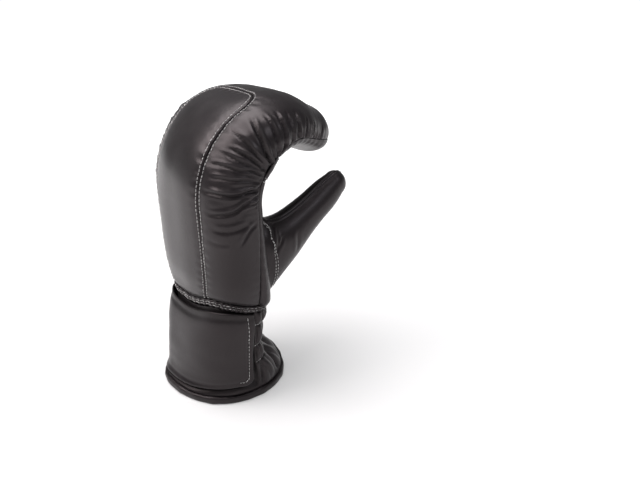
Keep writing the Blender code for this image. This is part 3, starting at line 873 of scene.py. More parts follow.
class Stitcher:
    """Sews rows of stitches onto finished leather and gathers them in one piece."""

    PITCH = 0.0031
    LENGTH_SHARE = 0.0023 / 0.0031
    WIDTH = 0.00056
    HEIGHT = 0.00042

    def __init__(self, seed: int) -> None:
        """Start an empty set of rows."""
        self.builder = bmesh.new()
        self.draw = random.Random(seed)

    def row(
        self, points: Array, leathers: Sequence[Object], pitch: float = PITCH, width: float = WIDTH
    ) -> None:
        """Sew one row.

        Args:
            points: The row's path, close to the leather.
            leathers: Pieces that the row lies on; each stitch takes the nearest.
            pitch: Distance from stitch to stitch.
            width: Width of the thread.
        """
        lengths = lengths_along(points)
        half = self.LENGTH_SHARE * pitch / 2
        place = pitch / 2
        while place < lengths[-1]:
            ends = [Vector(spread(at, lengths, points)) for at in (place - half, place + half)]
            self.stitch([nearest(end, leathers) for end in ends], width)
            place += pitch * self.draw.uniform(0.95, 1.05)

    def stitch(self, ends: list[tuple[Vector, Vector]], width: float) -> None:
        """One stitch between two places on the leather."""
        (first, first_way), (last, last_way) = ends
        along = last - first
        if along.length < 1e-5:
            return
        across = (first_way + last_way).cross(along).normalized()
        up = along.cross(across).normalized()
        turn = Matrix.Rotation(self.draw.uniform(-0.06, 0.06), 3, up)
        basis = Matrix((turn @ along.normalized(), turn @ across, up)).transposed().to_4x4()
        size = Matrix.Diagonal((along.length * 1.08, width, self.HEIGHT * 2.0, 1.0))
        middle = Matrix.Translation((first + last) / 2 + up * (self.HEIGHT * 0.55))
        matrix = middle @ basis @ size @ Matrix.Rotation(pi / 2, 4, "Y")
        bmesh.ops.create_uvsphere(self.builder, u_segments=6, v_segments=5, radius=0.5, matrix=matrix)

    def finish(self, name: str, material: Material) -> Object:
        """Give the sewn rows as one piece."""
        bmesh.ops.recalc_face_normals(self.builder, faces=self.builder.faces[:])
        return piece_from(self.builder, name, material)


CUFF_LIFTS = (
    CuffLift(-180.0, 0.0, 0.0),
    CuffLift(-98.0, 0.0, 0.0),
    CuffLift(-30.0, 0.0, 0.0),
    CuffLift(0.0, 1.0, 0.0),
    CuffLift(27.0, 3.0, 1.0),
    CuffLift(45.0, 6.5, 2.5),
    CuffLift(60.0, 11.0, 3.5),
    CuffLift(75.0, 11.0, 4.0),
    CuffLift(92.0, 5.0, 2.0),
    CuffLift(115.0, 0.0, 0.0),
    CuffLift(150.0, 0.0, 0.0),
    CuffLift(180.0, 0.0, 0.0),
)


@dataclass
class Glove:
    """The glove's pieces, settled onto the wrist and let ride on the model together."""

    finishes: Finishes = field(default_factory=Finishes)
    wrist_level: float = 0.084
    reach_up: float = 0.034
    reach_down: float = 0.024
    pieces: list[tuple[Object, Slot | None, str, float]] = field(default_factory=list)
    made: dict[str, Object] = field(default_factory=dict)

    def add(self, piece: Object, slot: Slot | None = None, node: str = "", fill: float = 0.0) -> None:
        """Keep a piece for the glove.

        Args:
            piece: The finished object.
            slot: The record's slot that it takes its finish from, if any.
            node: The node that it stands for, if any.
            fill: How full it is, if it is padded; kept with the piece but not used.
        """
        self.pieces.append((piece, slot, node, fill))
        self.made[node] = piece
        LOG.info("%s: %d faces", piece.name, len(piece.data.polygons))

    def leather(
        self, sheet: LeatherSheet, node: str, kind: str, slot: Slot, wall: float, fill: float
    ) -> None:
        """Finish a sheet as the padded piece that stands for a node.

        Args:
            sheet: The shaped sheet.
            node: The node that it stands for, which begins its name.
            kind: What it is, which ends its name.
            slot: The slot whose finish it has.
            wall: Thickness of the leather, or 0 for a closed form.
            fill: How full it is.
        """
        piece = sheet.piece(f"{node}_{kind}", wall, self.finishes.leather[slot])
        self.add(piece, slot, node, fill)

    def sewn(self, sewer: Stitcher, name: str) -> None:
        """Keep a set of stitches for the glove."""
        self.add(sewer.finish(name, self.finishes.thread))

    def settle(self, places: Array) -> Array:
        """Raise the wrist line over the corner that faces the thumb side and the back."""
        out = places - MIDDLE_SHIFT - np.array((HAND.wrist_forward, 0.0, 0.0))
        degrees = np.degrees(np.arctan2(-out[:, 1], -out[:, 0]))
        above = places[:, 2] - self.wrist_level
        reach = np.where(above > 0.0, self.reach_up, self.reach_down)
        settled = places.copy()
        settled[:, 2] += row_at(CUFF_LIFTS, degrees).wrist * MILLIMETRE * bell(above, reach)
        return settled

    def finish(self) -> None:
        """Settle every piece and let it ride on the model."""
        for piece, slot, node, fill in self.pieces:
            flat = np.empty(len(piece.data.vertices) * 3)
            piece.data.vertices.foreach_get("co", flat)
            piece.data.vertices.foreach_set("co", self.settle(flat.reshape(-1, 3)).ravel())
            piece.data.update()
            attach(piece, BODY)
            if node:
                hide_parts(node)


class VentHole(NamedTuple):
    """One hole punched through the palm: world y, height, diameter and widening."""

    across: float
    height: float
    diameter: float
    widening: float

    def spot(self, vert: bmesh.types.BMVert) -> tuple[float, float]:
        """Place of a vertex in the hole's own circle."""
        return (vert.co.y - self.across) / self.widening, vert.co.z - self.height

    def punch(self, mesh: bmesh.types.BMesh) -> None:
        """Punch the hole through a leather sheet and round its edge."""
        radius = self.diameter / 2
        facing = [vert for vert in mesh.verts if vert.normal.x > 0.0]
        inside = [vert for vert in facing if np.hypot(*self.spot(vert)) < radius]
        bmesh.ops.delete(mesh, geom=inside, context="VERTS")
        for vert in mesh.verts:
            y, z = self.spot(vert)
            away = float(np.hypot(y, z))
            if vert.is_boundary and vert.normal.x > 0.0 and away < radius * 1.9:
                vert.co.y = self.across + y / away * radius * self.widening
                vert.co.z = self.height + z / away * radius


class Ripple(NamedTuple):
    """Shallow hollow in the palm leather: world y, height, depth and tilt of its long way."""

    across: float
    height: float
    depth: float
    tilt: float

    def heights(self, places: Array) -> Array:
        """How far the hollow sinks each place."""
        y, z = places[:, 1] - self.across, places[:, 2] - self.height
        return -self.depth * bell(y * self.tilt + z, 0.030) * bell(y - z * self.tilt, 0.010)


VENT_HOLES = (
    VentHole(0.0017, 0.177, 0.0038, 1.0),
    VentHole(0.0167, 0.160, 0.0038, 1.0),
    VentHole(-0.0043, 0.162, 0.0050, 1.8),
    VentHole(-0.0263, 0.160, 0.0038, 1.0),
)
PALM_RIPPLES = (
    Ripple(0.030, 0.150, 0.0012, 0.4),
    Ripple(-0.060, 0.150, 0.0010, -0.3),
    Ripple(0.020, 0.105, 0.0014, 0.9),
)


@dataclass
class Hand:
    """The padded hand: back panel, fist panel and the three palm-side panels."""

    glove: Glove
    wall: float = 0.0018
    fill: float = 0.8
    back_crown: float = 0.0026
    grip_swell: float = 0.0012
    finger_swell: float = 0.0007
    heel_swell: float = 0.0042
    fold_depth: float = 1.25 * MILLIMETRE
    fold_width: float = 0.72 * MILLIMETRE
    seams: HandSeams = field(default_factory=HandSeams)

    def build(self) -> None:
        """Build and dress every panel."""
        self.back_panel()
        self.fist_panel()
        self.palm_panel()
        self.grip_band()
        self.finger_panel()
        self.stitches()

    def keep(self, sheet: LeatherSheet, node: str, slot: Slot) -> None:
        """Finish a panel."""
        self.glove.leather(sheet, node, "leather", slot, self.wall, self.fill)

    @staticmethod
    def laid(sheet: LeatherSheet, share: Array, angle: Array) -> Array:
        """Lay a sheet over the hand and give its places."""
        points = HAND.point(share, angle)
        sheet.lay(points, HAND.point(share, angle, Sheet.HOLLOW))
        return points

    @staticmethod
    def bottom_edge(share: Array) -> Array:
        """Leather turned in and puckered at the wrist seam."""
        return -0.0022 * bell(share * HAND.run, 0.0028, 1.5)

    def back_panel(self) -> None:
        """U-shaped panel over the back of the hand."""
        sheet = LeatherSheet(76, 200)
        up, side = sheet.v, 1.0 - 2.0 * sheet.u
        leg_share, leg_angle = HAND.back_seam_leg(up)
        corner_share, corner_angle = HAND.back_seam_leg(1.0)
        end_share, end_angle = HAND.back_seam_end(sheet.u)
        share = leg_share + up * (end_share - corner_share)
        angle = leg_angle * side + up * (end_angle - corner_angle * side)
        points = self.laid(sheet, share, angle)
        heights = pressed(points, self.seams.back) + self.bottom_edge(share)
        heights += uneven(points, depth=0.0007, wavelength=0.034, seed=1.0)
        crown = np.cos(side * pi / 2) * smooth_step(share / 0.12) * smooth_step((1 - up) / 0.2)
        sheet.lift(heights + self.back_crown * crown)
        self.keep(sheet, "back_panel", Slot.PADDED)

    def fist_panel(self) -> None:
        """Side leather from the U seam round both sides and over the finger end."""
        leg_part = 0.42
        sheet = LeatherSheet(560, 78)
        along, out = sheet.u, sheet.v
        first, last = along < leg_part, along > 1.0 - leg_part
        on_leg = first | last
        sign = np.where(last, -1.0, 1.0)
        up = np.where(on_leg, np.minimum(along, 1.0 - along) / leg_part, 0.0)
        up = up * (1.35 - 0.35 * up)
        over = np.clip((along - leg_part) / (1.0 - 2.0 * leg_part), 0.0, 1.0)
        leg_share, leg_angle = HAND.back_seam_leg(up)
        end_share, end_angle = HAND.back_seam_end(over)
        seam_share = np.where(on_leg, leg_share, end_share)
        seam_angle = np.where(on_leg, leg_angle * sign, end_angle)
        rim_end = HAND.palm_seam_end * (1.0 - 2.0 * over)
        rim_angle = np.where(on_leg, HAND.palm_seam_angle(up) * sign, rim_end)
        share = seam_share + (np.where(on_leg, up, 1.0) - seam_share) * out
        angle = seam_angle + (rim_angle - seam_angle) * out
        points = self.laid(sheet, share, angle)
        heights = pressed(points, self.seams.back, *self.seams.palm, self.seams.tip)
        heights += self.bottom_edge(share) + uneven(points, depth=0.0009, wavelength=0.038, seed=2.0)
        creased = smooth_step((share - 0.30) / 0.12) * smooth_step((0.92 - share) / 0.08)
        longer = points * np.array((1.0, 0.8, 1.4))
        heights += creased * uneven(longer, depth=0.0004, wavelength=0.010, seed=4.0)
        slanted = np.stack((share * HAND.run, np.abs(angle) * 0.012, 0.0 * share), -1)
        near_palm = 0.25 + 0.75 * smooth_step((np.abs(angle) - 0.8) / 0.7)
        heights += creased * near_palm * uneven(slanted, depth=0.0005, wavelength=0.0040, seed=6.0)
        for row in SIDE_FOLDS:
            near = [(place, radians(degrees)) for place, degrees in row.path]
            far = [(place - 0.012, -radians(degrees * 0.97)) for place, degrees in row.path]
            for path, strength in ((near, 1.0), (far, 0.7)):
                depth = strength * self.fold_depth * row.depth
                heights += Fold(hand_line(path), depth, self.fold_width * row.width).heights(points)
        heights += pressed(points, *Gathers().folds(1.0), *Gathers().folds(-1.0))
        sheet.lift(heights)
        self.keep(sheet, "fist_panel", Slot.PADDED)

    def palm_sheet(self, rows: int, low: float, high: float) -> tuple[LeatherSheet, Array, Array, Array]:
        """Lay a sheet over the palm side.

        Args:
            rows: How many rows it has.
            low: Share where it starts.
            high: Share where it ends.

        Returns:
            The sheet, the share and the place of each vertex, and its height at the side seams.
        """
        sheet = LeatherSheet(130, rows)
        share = low + (high - low) * sheet.v
        edge = HAND.palm_seam_angle(share)
        points = self.laid(sheet, share, edge + (2 * pi - 2 * edge) * sheet.u)
        heights = uneven(points, depth=0.0004, wavelength=0.026, seed=3.0)
        return sheet, share, points, heights + pressed(points, *self.seams.palm)

    def palm_panel(self) -> None:
        """Flat palm with its vent holes."""
        sheet, share, points, heights = self.palm_sheet(120, 0.0, HAND.grip_low)
        heel = bell(share, 0.16) * bell(sheet.u - 0.06, 0.16) * smooth_step(sheet.u / 0.035)
        heights += pressed(points, self.seams.grip_low, *PALM_RIPPLES)
        sheet.lift(heights + self.bottom_edge(share) + self.heel_swell * heel)
        for hole in VENT_HOLES:
            hole.punch(sheet.mesh)
        self.keep(sheet, "palm_panel", Slot.PALM)

    def grip_band(self) -> None:
        """Padded band across the palm where the fingers fold over."""
        sheet, _, points, heights = self.palm_sheet(34, HAND.grip_low, HAND.grip_high)
        heights += pressed(points, self.seams.grip_low, self.seams.grip_high)
        sheet.lift(heights + self.grip_swell * np.sin(pi * sheet.v))
        self.keep(sheet, "grip_band", Slot.PALM)

    def finger_panel(self) -> None:
        """Leather under the curled fingers, from the grip band to the tip."""
        sheet, _, points, heights = self.palm_sheet(110, HAND.grip_high, 1.0)
        heights += pressed(points, self.seams.grip_high, self.seams.tip)
        sheet.lift(heights + self.finger_swell * np.sin(pi * sheet.v))
        self.keep(sheet, "finger_panel", Slot.PALM)

    def stitches(self) -> None:
        """Double rows along the U seam and across the palm."""
        sewer = Stitcher(seed=3)
        made = self.glove.made
        back, low, high = self.seams.back.line, self.seams.grip_low.line, self.seams.grip_high.line
        inward = np.sign(np.dot(back.across[60], THUMB_WAY))
        for node, offset in (("back_panel", -0.0021), ("fist_panel", 0.0021)):
            sewer.row(back.shifted(offset * inward), (made[node],))
        for offset in (-0.0017, 0.0017):
            sewer.row(low.shifted(offset), (made["palm_panel"], made["grip_band"]))
        upward = np.sign(high.across[len(high.points) // 2][2])
        sewer.row(high.shifted(-0.0020 * upward), (made["grip_band"],))
        self.glove.sewn(sewer, "hand_stitches")


class ThumbFold(NamedTuple):
    """One crease of the thumb: share and degrees at both ends, depth and width in mm."""

    first_share: float
    first_degrees: float
    last_share: float
    last_degrees: float
    depth: float
    width: float


THUMB_FOLDS = (
    ThumbFold(0.04, 60.0, 0.16, 20.0, 1.2, 1.4),
    ThumbFold(0.03, 85.0, 0.20, 42.0, 1.0, 1.5),
    ThumbFold(0.10, 75.0, 0.24, 55.0, 0.9, 1.3),
    ThumbFold(0.30, 120.0, 0.42, 70.0, 0.6, 2.0),
    ThumbFold(0.05, -30.0, 0.15, -70.0, 1.2, 1.5),
    ThumbFold(0.12, -20.0, 0.20, -80.0, 1.0, 1.5),
)


@dataclass(frozen=True)
class ThumbForm:
    """Form of the thumb: rings round a bent line from the palm to a round tip."""

    root_y: float = -0.0483
    root_z: float = 0.122
    bend: tuple[float, float, float] = (0.0262, -0.0493, 0.140)
    tip: tuple[float, float, float] = (0.0742, -0.0453, 0.170)
    turn_share: float = 0.45
    tip_depth: float = 0.011
    flange: float = 0.0065
    sections: tuple[ThumbSection, ...] = (
        ThumbSection(0.00, 0.0350, 0.0215),
        ThumbSection(0.20, 0.0258, 0.0200),
        ThumbSection(0.45, 0.0185, 0.0165),
        ThumbSection(0.70, 0.0150, 0.0140),
        ThumbSection(0.88, 0.0140, 0.0125),
        ThumbSection(1.00, 0.0115, 0.0105),
    )

    def axis(self, share: Array) -> tuple[Array, Array]:
        """Places and headings on the thumb's middle line."""
        root_x = HAND.palm_surface_x(self.root_y, self.root_z)
        root, bend, tip = np.array(((root_x, self.root_y, self.root_z), self.bend, self.tip))
        t = share[:, None]
        point = root * (1 - t) ** 2 + bend * 2 * t * (1 - t) + tip * t**2
        return point, unit((bend - root) * (1 - t) + (tip - bend) * t)

    def place(self, share: Array, turn: Array, over: Array, grow: Array) -> tuple[Array, Array]:
        """Points on the thumb.

        Args:
            share: Share of the thumb's length.
            turn: Angle round it, from its top towards the outer side.
            over: Angle over the round tip, 0 before it.
            grow: How far the ring is widened.

        Returns:
            The points and the middle of the ring each lies on.
        """
        middle, heading = self.axis(share)
        eased = smooth_step(share / self.turn_share)[:, None]
        facing = unit(np.array((1.0, 0.0, 0.0)) * (1.0 - eased) + heading * eased)
        up_way = unit(np.cross(THUMB_WAY, facing))
        row = row_at(self.sections, share)
        ring = up_way * ((row.tall + grow) * np.cos(turn) * np.cos(over))[:, None]
        ring = ring + THUMB_WAY * ((row.thick + grow) * np.sin(turn) * np.cos(over))[:, None]
        centre = middle + heading * (self.tip_depth * np.sin(over))[:, None]
        return centre + ring, centre


@dataclass
class Thumb:
    """Closed thumb, sewn onto the palm by a flat flange and joined along two welted seams."""

    glove: Glove
    form: ThumbForm = ThumbForm()
    sides: int = 200
    rings: int = 190
    flange_end: float = 0.06
    body_end: float = 0.90
    top_welt: float = radians(19.0)
    low_welt: float = radians(190.0)
    welt_tall: float = 0.0011
    wall: float = 0.0016
    fill: float = 0.7

    def build(self) -> None:
        """Build the thumb and sew it to the palm."""
        sheet = LeatherSheet(self.sides, self.rings)
        turn = 2 * pi * sheet.u
        share = np.clip((sheet.v - self.flange_end) / (self.body_end - self.flange_end), 0.0, 1.0)
        over = np.clip((sheet.v - self.body_end) / (1.0 - self.body_end), 0.0, 1.0) * pi / 2
        out = np.maximum(1.0 - sheet.v / self.flange_end, 0.0)
        inner = 1.0 - smooth_step(np.sin(turn) / 0.55)
        fillet = 0.0030 * bell(share, 0.05, 1.2) * inner
        points, middle = self.form.place(share, turn, over, out * self.form.flange * inner + fillet)
        settle = bell(share, 0.035)
        neighbours = (self.glove.made["palm_panel"], self.glove.made["fist_panel"])
        for index in np.nonzero(settle > 0.01)[0]:
            spot = Vector(points[index])
            place, way = nearest(spot, neighbours)
            on_leather = place + way * (0.0009 - 0.0018 * float(out[index]) * (1 - inner[index]))
            points[index] = spot.lerp(on_leather, float(settle[index]))
        sheet.lay(points, middle - np.array((0.02, 0.0, 0.0)) * settle[:, None])
        heights = uneven(points, depth=0.0004, wavelength=0.020, seed=5.0)
        fade = smooth_step((share - 0.02) / 0.08) * np.cos(over)
        for at in (self.top_welt, self.low_welt):
            heights += self.welt(share, turn, at) * fade
        sheet.lift(heights + pressed(points, *map(self.crease, THUMB_FOLDS)))
        sheet.close()
        self.glove.leather(sheet, "thumb", "leather", Slot.PALM, self.wall, self.fill)
        self.sew()

    def welt(self, share: Array, turn: Array, at: float) -> Array:
        """Two leather edges standing up side by side with the seam between them."""
        row = row_at(self.form.sections, share)
        away = (np.mod(turn - at + pi, 2 * pi) - pi) * (row.tall + row.thick) / 2
        ridges = bell(away - 0.0012, 0.0008) + bell(away + 0.0012, 0.0008)
        return self.welt_tall * ridges - 0.0004 * bell(away, 0.0005)

    def crease(self, row: ThumbFold) -> Fold:
        """A straight crease in the thumb leather."""
        share = np.linspace(row.first_share, row.last_share, 12)
        turn = np.radians(np.linspace(row.first_degrees, row.last_degrees, 12))
        line, middle = self.form.place(share, turn, 0.0 * turn, 0.0 * turn)
        depth, width = row.depth * MILLIMETRE, row.width * MILLIMETRE
        return Fold(SurfaceLine(line, line - middle), depth, width, end_fade=0.35)

    def sew(self) -> None:
        """Two rows of stitches round the flange."""
        sewer = Stitcher(seed=5)
        turn = np.linspace(0.0, 2 * pi, 200)
        outer = smooth_step((turn - radians(35.0)) / 0.9) * smooth_step((radians(185.0) - turn) / 0.7)
        for out, share in ((0.0058, 0.062), (0.0086, 0.034)):
            line, _ = self.form.place(outer * share, turn, 0.0 * turn, (1.0 - outer) * out)
            sewer.row(line, (self.glove.made["thumb"],))
        self.glove.sewn(sewer, "thumb_stitches")


@dataclass(frozen=True)
class SleeveForm:
    """Form of the wrist sleeve, with its gathers on the palm side."""

    gather_edge: float = radians(91.0)
    sections: tuple[SleeveSection, ...] = (
        SleeveSection(0.0070, 0.000, 0.0640, 0.0310, 0.0530, 0.0500, 2.2),
        SleeveSection(0.0180, 0.000, 0.0635, 0.0280, 0.0470, 0.0380, 2.3),
        SleeveSection(0.0300, -0.001, 0.0630, 0.0250, 0.0440, 0.0260, 2.4),
        SleeveSection(0.0450, -0.002, 0.0630, 0.0250, 0.0410, 0.0200, 2.5),
        SleeveSection(0.0620, -0.002, 0.0635, 0.0320, 0.0370, 0.0220, 2.7),
        SleeveSection(0.0785, -0.002, 0.0635, 0.0410, 0.0305, 0.0270, 3.0),
    )

    def place(self, height: Array, angle: Array, out: Array | float) -> Array:
        """Points on the sleeve moved out by a distance."""
        row = row_at(self.sections, height)
        return level_ring(row, row.forward, height, angle, out)

    def middle(self, height: Array) -> Array:
        """A place inside the sleeve at each height."""
        nil = np.zeros_like(height)
        return np.stack((nil, nil - 0.015, height), -1) + MIDDLE_SHIFT


SLEEVE = SleeveForm()


@dataclass
class Cuff:
    """Gathered sleeve, bare plate, hem binding and wrist binding."""

    glove: Glove
    fill: float = 0.4
    bottom: float = 0.0070
    top: float = 0.0786
    sleeve_wall: float = 0.0012
    tunnels: tuple[float, ...] = (0.0335, 0.0500, 0.0680)
    plate_bottom: float = 0.0120
    plate_top: float = 0.0780
    plate_wall: float = 0.0020
    plate_out: float = 0.0033
    plate_length: float = 0.190
    plate_corner: float = 0.010
    plate_first: float = radians(-98.0)
    plate_last: float = radians(89.8)
    plate_lean: float = radians(2.5)
    plate_gap: float = 0.0034
    plate_round: float = 0.0010
    hem_out: float = 0.0028
    hem_half: float = 0.0034
    strip_half: float = 0.0029
    strip_inset: float = 0.0026
    strip_clear: float = 0.0003
    stitch_inset: float = 0.0045

    def build(self) -> None:
        """Build and dress every part of the cuff."""
        self.sleeve()
        self.plate()
        self.hem()
        self.wrist()
        self.stitches()

    def keep(self, sheet: LeatherSheet, node: str, kind: str, slot: Slot, wall: float = 0.0) -> None:
        """Finish a part of the cuff."""
        self.glove.leather(sheet, node, kind, slot, wall, self.fill)

    def gathers(self, height: Array, angle: Array) -> Array:
        """Depth of the gathers: pinched at the sewn rows, puffed between them, ruffled below."""
        across = (angle - SLEEVE.gather_edge) / (2 * pi - 2 * SLEEVE.gather_edge)
        edge = smooth_step(np.minimum(across, 1.0 - across) / 0.05)
        levels = (*self.tunnels, self.top)
        result = np.zeros_like(height)
        for index, (low, high) in enumerate(zip(levels, levels[1:])):
            inside = np.clip((height - low) / (high - low), 0.0, 1.0)
            warp = 0.35 * np.sin(across * 9.0 + index * 2.1) + 0.20 * np.sin(across * 23.0 + index)
            phase = pi * (15.0 + index) * across + pi * warp + height * 40.0 * (index - 1)
            tall = 0.0042 + 0.0012 * np.sin(across * 17.0 + index * 1.3)
            puff = np.sin(pi * inside) ** 0.7 * tall * (np.abs(np.sin(phase)) ** 0.6 - 0.35)
            result += np.where((height > low) & (height <= high), puff, 0.0)
        for level in self.tunnels:
            result -= 0.0009 * bell(height - level, 0.0012)
        low = self.tunnels[0]
        down = np.clip((low - height) / (low - self.bottom), 0.0, 1.0)
        warp = 0.5 * np.sin(across * 7.0) + 0.3 * np.sin(across * 15.0 + 1.0)
        ruffle = np.abs(np.sin(pi * 6.5 * across + pi * warp + 1.5 * down)) ** 0.8 - 0.4
        small = np.abs(np.sin(pi * 17.0 * across + pi * warp)) - 0.5
        skirt = np.sin(pi * down) ** 0.8 * (0.0056 * ruffle + 0.0016 * small)
        return (result + np.where(height <= low, skirt, 0.0)) * edge

    @staticmethod
    def plate_rise(angle: Array) -> Array:
        """How far the plate's lower edge rises at each angle."""
        return row_at(CUFF_LIFTS, np.degrees(angle)).plate * MILLIMETRE

    def sleeve(self) -> None:
        """Sleeve from the wrist binding down to the flared hem."""
        sheet = LeatherSheet(420, 92)
        angle = 2 * pi * sheet.u
        height = self.bottom + (self.top - self.bottom) * sheet.v
        points = SLEEVE.place(height, angle, 0.0)
        sheet.lay(points, SLEEVE.middle(height))
        heights = self.gathers(height, angle) + uneven(points, depth=0.0003, wavelength=0.012, seed=8.0)
        round_back = np.mod(angle + pi, 2 * pi) - pi
        below = np.maximum(self.plate_bottom + self.plate_rise(round_back) - height, 0.0)
        from_middle = np.abs(round_back - (self.plate_first + self.plate_last) / 2)
        past = np.maximum(from_middle - (self.plate_last - self.plate_first) / 2, 0.0)
        sheet.lift(heights - self.plate_gap * bell(below, 0.0035) * bell(past, radians(2.5)))
        sheet.close()
        self.keep(sheet, "wrist_sleeve", "leather", Slot.GATHERED, self.sleeve_wall)

    def plate(self) -> None:
        """Bare leather plate over the back of the sleeve."""
        sheet = LeatherSheet(240, 90)
        angle = self.plate_first + (self.plate_last - self.plate_first) * sheet.u
        from_end = np.minimum(sheet.u, 1.0 - sheet.u) * self.plate_length
        left = 1.0 - np.minimum(from_end / self.plate_corner, 1.0)
        corner = self.plate_corner * (1.0 - np.sqrt(1.0 - left * left))
        low = self.plate_bottom + self.plate_rise(angle) + corner
        height = low + (self.plate_top - low) * sheet.v
        points = SLEEVE.place(height, angle + self.lean(height) * sheet.u, self.plate_out)
        sheet.lay(points, SLEEVE.middle(height))
        edge = np.minimum.reduce((from_end, height - low, self.plate_top - height))
        inset = 1.0 - np.clip(edge / self.plate_round, 0.0, 1.0)
        heights = -self.plate_round * (1.0 - np.sqrt(1.0 - inset * inset))
        heights -= 0.0004 * bell(edge - 0.0042, 0.0016)
        heights += uneven(points * np.array((1.0, 1.0, 2.2)), depth=0.0006, wavelength=0.030, seed=9.0)
        sheet.lift(heights - 0.0018 * bell(self.plate_top - height, 0.0065))
        self.keep(sheet, "cuff_plate", "leather", Slot.PADDED, self.plate_wall)

    def lean(self, height: Array) -> Array:
        """How far the plate's thumb end leans over at each height."""
        half = (self.plate_top - self.plate_bottom) / 2
        return self.plate_lean * (height - self.plate_bottom - half) / half

    def hem(self) -> None:
        """Binding rolled over the hem, flat underneath."""
        sheet = LeatherSheet(300, 36)
        angle, turn = 2 * pi * sheet.u, 2 * pi * sheet.v
        out = signed_power(np.cos(turn), 0.62) * self.hem_out - 0.0002
        height = self.hem_half + signed_power(np.sin(turn), 0.62) * self.hem_half
        level = np.full_like(height, self.bottom)
        points, inside = SLEEVE.place(level, angle, out), SLEEVE.place(level, angle, -0.0002)
        points[:, 2], inside[:, 2] = height, self.hem_half
        sheet.lay(points, inside)
        wave = 0.0003 * np.sin(angle * 9.0) + 0.0002 * np.sin(angle * 23.0 + 1.0)
        sheet.lift(np.where(height > 0.0008, wave, 0.0))
        sheet.close()
        self.keep(sheet, "hem_binding", "roll", Slot.BINDING)

    @staticmethod
    def wrist_ring(height: Array, angle: Array, out: Array | float) -> Array:
        """Points round the wrist at each height."""
        return level_ring(HAND.sections[0], HAND.wrist_forward, height, angle, out)

    def wrist(self) -> None:
        """Puckered strip round the wrist seam."""
        sheet = LeatherSheet(360, 30)
        angle, turn = 2 * pi * sheet.u, 2 * pi * sheet.v
        middle = HAND.wrist_height - self.strip_clear - self.strip_half
        out = signed_power(np.cos(turn), 0.7) * 0.0014 - self.strip_inset
        height = middle + signed_power(np.sin(turn), 0.7) * self.strip_half
        inside = self.wrist_ring(middle, angle, -self.strip_inset)
        sheet.lay(self.wrist_ring(height, angle, out), inside)
        wave = np.sin(angle * 46.0 + 2.0 * np.sin(angle * 5.0))
        sheet.lift(0.0007 * wave * np.maximum(np.cos(turn), 0.0))
        sheet.close()
        self.keep(sheet, "wrist_binding", "strip", Slot.BINDING)

    def stitches(self) -> None:
        """Rows on the plate's ends, the elastic and the wrist seam."""
        sewer = Stitcher(seed=7)
        made = self.glove.made
        turn = np.linspace(0.0, pi / 2, 14)
        radius = self.plate_corner - self.stitch_inset
        along = np.concatenate(([0.0], radius * (1.0 - np.cos(turn)), [radius + 0.004])) + self.stitch_inset
        bend = np.concatenate(([0.0], radius * (1.0 - np.sin(turn)), [0.0]))
        per_length = (self.plate_last - self.plate_first) / self.plate_length
        for end, way in ((self.plate_last, -1.0), (self.plate_first, 1.0)):
            angle = end + way * along * per_length
            height = self.plate_bottom + self.stitch_inset + self.plate_rise(angle) + bend
            height[0] = self.plate_top - 0.002
            angle = angle + self.lean(height) * (end == self.plate_last)
            sewer.row(SLEEVE.place(height, angle, self.plate_out), (made["cuff_plate"],))
        edge = SLEEVE.gather_edge + 0.04
        angle = np.linspace(edge, 2 * pi - edge, 260)
        for level in self.tunnels:
            height = np.full_like(angle, level)
            line = SLEEVE.place(height, angle, self.gathers(height, angle))
            sewer.row(line, (made["wrist_sleeve"],), pitch=0.0026)
        angle = np.linspace(0.0, 2 * pi, 400)
        for level in (0.0811, 0.0831):
            line = self.wrist_ring(level, angle, -0.0012)
            sewer.row(line, (made["wrist_binding"],), pitch=0.0040, width=0.00024)
        self.glove.sewn(sewer, "cuff_stitches")


@dataclass
class Lining:
    """Woven lining of the hollow hand."""

    glove: Glove
    clear: float = 0.0006
    wall: float = 0.0008

    def build(self) -> None:
        """Build the lining of the hand, which the sleeve's own wall meets at the wrist."""
        sheet = LeatherSheet(120, 130)
        points = HAND.point(sheet.v, 2 * pi * sheet.u, Sheet.HOLLOW)
        centre, _ = HAND.spine(sheet.v * HAND.run * HAND.hollow_reach)
        points = points + unit(centre - points) * self.clear
        sheet.lay(points, centre)
        sheet.lift(uneven(points, depth=0.0005, wavelength=0.018, seed=12.0))
        sheet.close()
        self.glove.add(sheet.piece("hand_lining", self.wall, self.glove.finishes.lining))


@dataclass(frozen=True)
class Softbox:
    """Square soft light: its place, size and radiance, and whether the glove mirrors it."""

    name: str
    place: tuple[float, float, float]
    size: float
    radiance: float
    tint: tuple[float, float, float] = (1.0, 1.0, 1.0)
    mirrored: bool = True

    def build(self) -> None:
        """Hang the light and aim it at the glove."""
        light = bpy.data.lights.new(self.name, "AREA")
        light.size = self.size
        light.energy = self.radiance * pi * self.size**2
        light.color = self.tint
        made = bpy.data.objects.new(self.name, light)
        made.visible_glossy = self.mirrored
        made.location = self.place
        aim = Vector((0.0, 0.0, 0.12)) - Vector(self.place)
        made.rotation_euler = aim.to_track_quat("-Z", "Y").to_euler()
        bpy.context.scene.collection.objects.link(made)


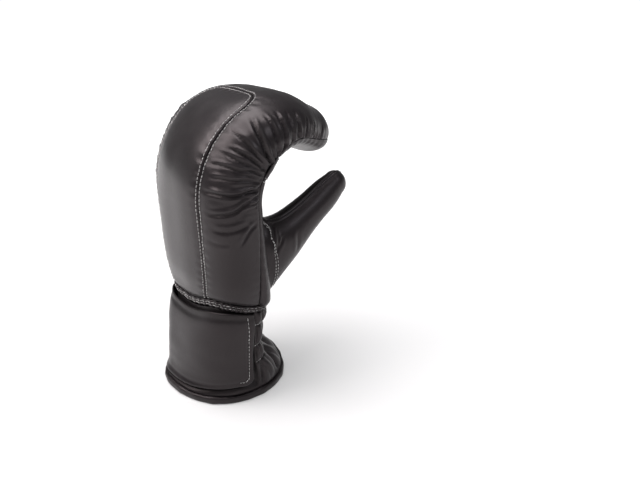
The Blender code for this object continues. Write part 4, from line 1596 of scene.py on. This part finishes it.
@dataclass(frozen=True)
class Studio:
    """Pale floor, soft lights and the photograph's camera."""

    camera_place: tuple[float, float, float] = (-0.2414, -0.4392, 0.3349)
    camera_turn: tuple[float, float, float] = (66.35, 0.0, -37.25)
    lens: float = 33.117
    sensor: float = 36.0
    floor_half: float = 9.0
    floor_colour: tuple[float, float, float, float] = (0.56, 0.56, 0.56, 1.0)
    near_glow: float = 0.28
    surroundings: float = 0.20
    backdrop: float = 1.05
    softboxes: tuple[Softbox, ...] = (
        Softbox("key", (-1.15, 0.55, 1.32), 1.00, 5.5, (1.0, 0.95, 0.95)),
        Softbox("top", (-0.10, 0.35, 1.70), 1.30, 5.4, (1.0, 0.97, 0.98)),
        Softbox("front_left", (-1.20, -1.10, 1.10), 0.60, 1.2, (1.0, 0.95, 0.96)),
        Softbox("window", (0.50, -1.30, 1.35), 0.45, 6.0, (0.90, 0.93, 1.0)),
        Softbox("floor_fill", (0.40, 0.30, 2.40), 2.60, 1.2, mirrored=False),
    )

    def build(self) -> None:
        """Make the camera, the floor and the lights."""
        camera = bpy.data.objects.new("camera", bpy.data.cameras.new("camera"))
        camera.data.lens = self.lens
        camera.data.sensor_width = self.sensor
        camera.data.clip_start = 0.01
        camera.location = self.camera_place
        camera.rotation_euler = [radians(angle) for angle in self.camera_turn]
        bpy.context.scene.collection.objects.link(camera)
        bpy.context.scene.camera = camera
        self.floor()
        self.world()
        for softbox in self.softboxes:
            softbox.build()

    def floor(self) -> None:
        """Pale studio floor with a painted glow: dim near the glove, where it lifts the glove's shadow,
        rising to even white away from the glove.
        """
        material, shading = principled("studio_floor")
        away = shading.add("VectorMath", {0: shading.place}, operation="LENGTH").outputs["Value"]
        shading.surface(
            {
                "Base Color": self.floor_colour,
                "Roughness": 0.8,
                "Specular IOR Level": 0.1,
                # Painted light: the floor's own glow, 0.28 near the glove, which lightens its cast shadow,
                # up to 1 far off.
                "Emission Color": shading.ranged(away, 0.40, 1.10, self.near_glow, 1.0),
                "Emission Strength": 1.0,
            }
        )
        builder = bmesh.new()
        bmesh.ops.create_grid(builder, x_segments=2, y_segments=2, size=self.floor_half)
        piece_from(builder, "studio_floor", material)

    def world(self) -> None:
        """White behind the floor, dim all round for the leather to mirror."""
        world = bpy.data.worlds.new("studio")
        world.use_nodes = True
        shading = Shading(world.node_tree)
        seen = shading.add("LightPath", {}).outputs["Is Camera Ray"]
        strength = shading.ranged(seen, 0.0, 1.0, self.surroundings, self.backdrop)
        background = world.node_tree.nodes["Background"]
        shading.feed(background, {"Color": (1.0, 1.0, 1.0, 1.0), "Strength": strength})
        bpy.context.scene.world = world
        bpy.context.scene.view_settings.view_transform = "Standard"


def main() -> None:
    """Build the glove and its studio in order."""
    logging.basicConfig(level=logging.INFO, format="%(name)s: %(message)s")
    Studio().build()
    glove = Glove()
    Hand(glove).build()
    Thumb(glove).build()
    Cuff(glove).build()
    Lining(glove).build()
    glove.finish()


if __name__ == "__main__":
    main()
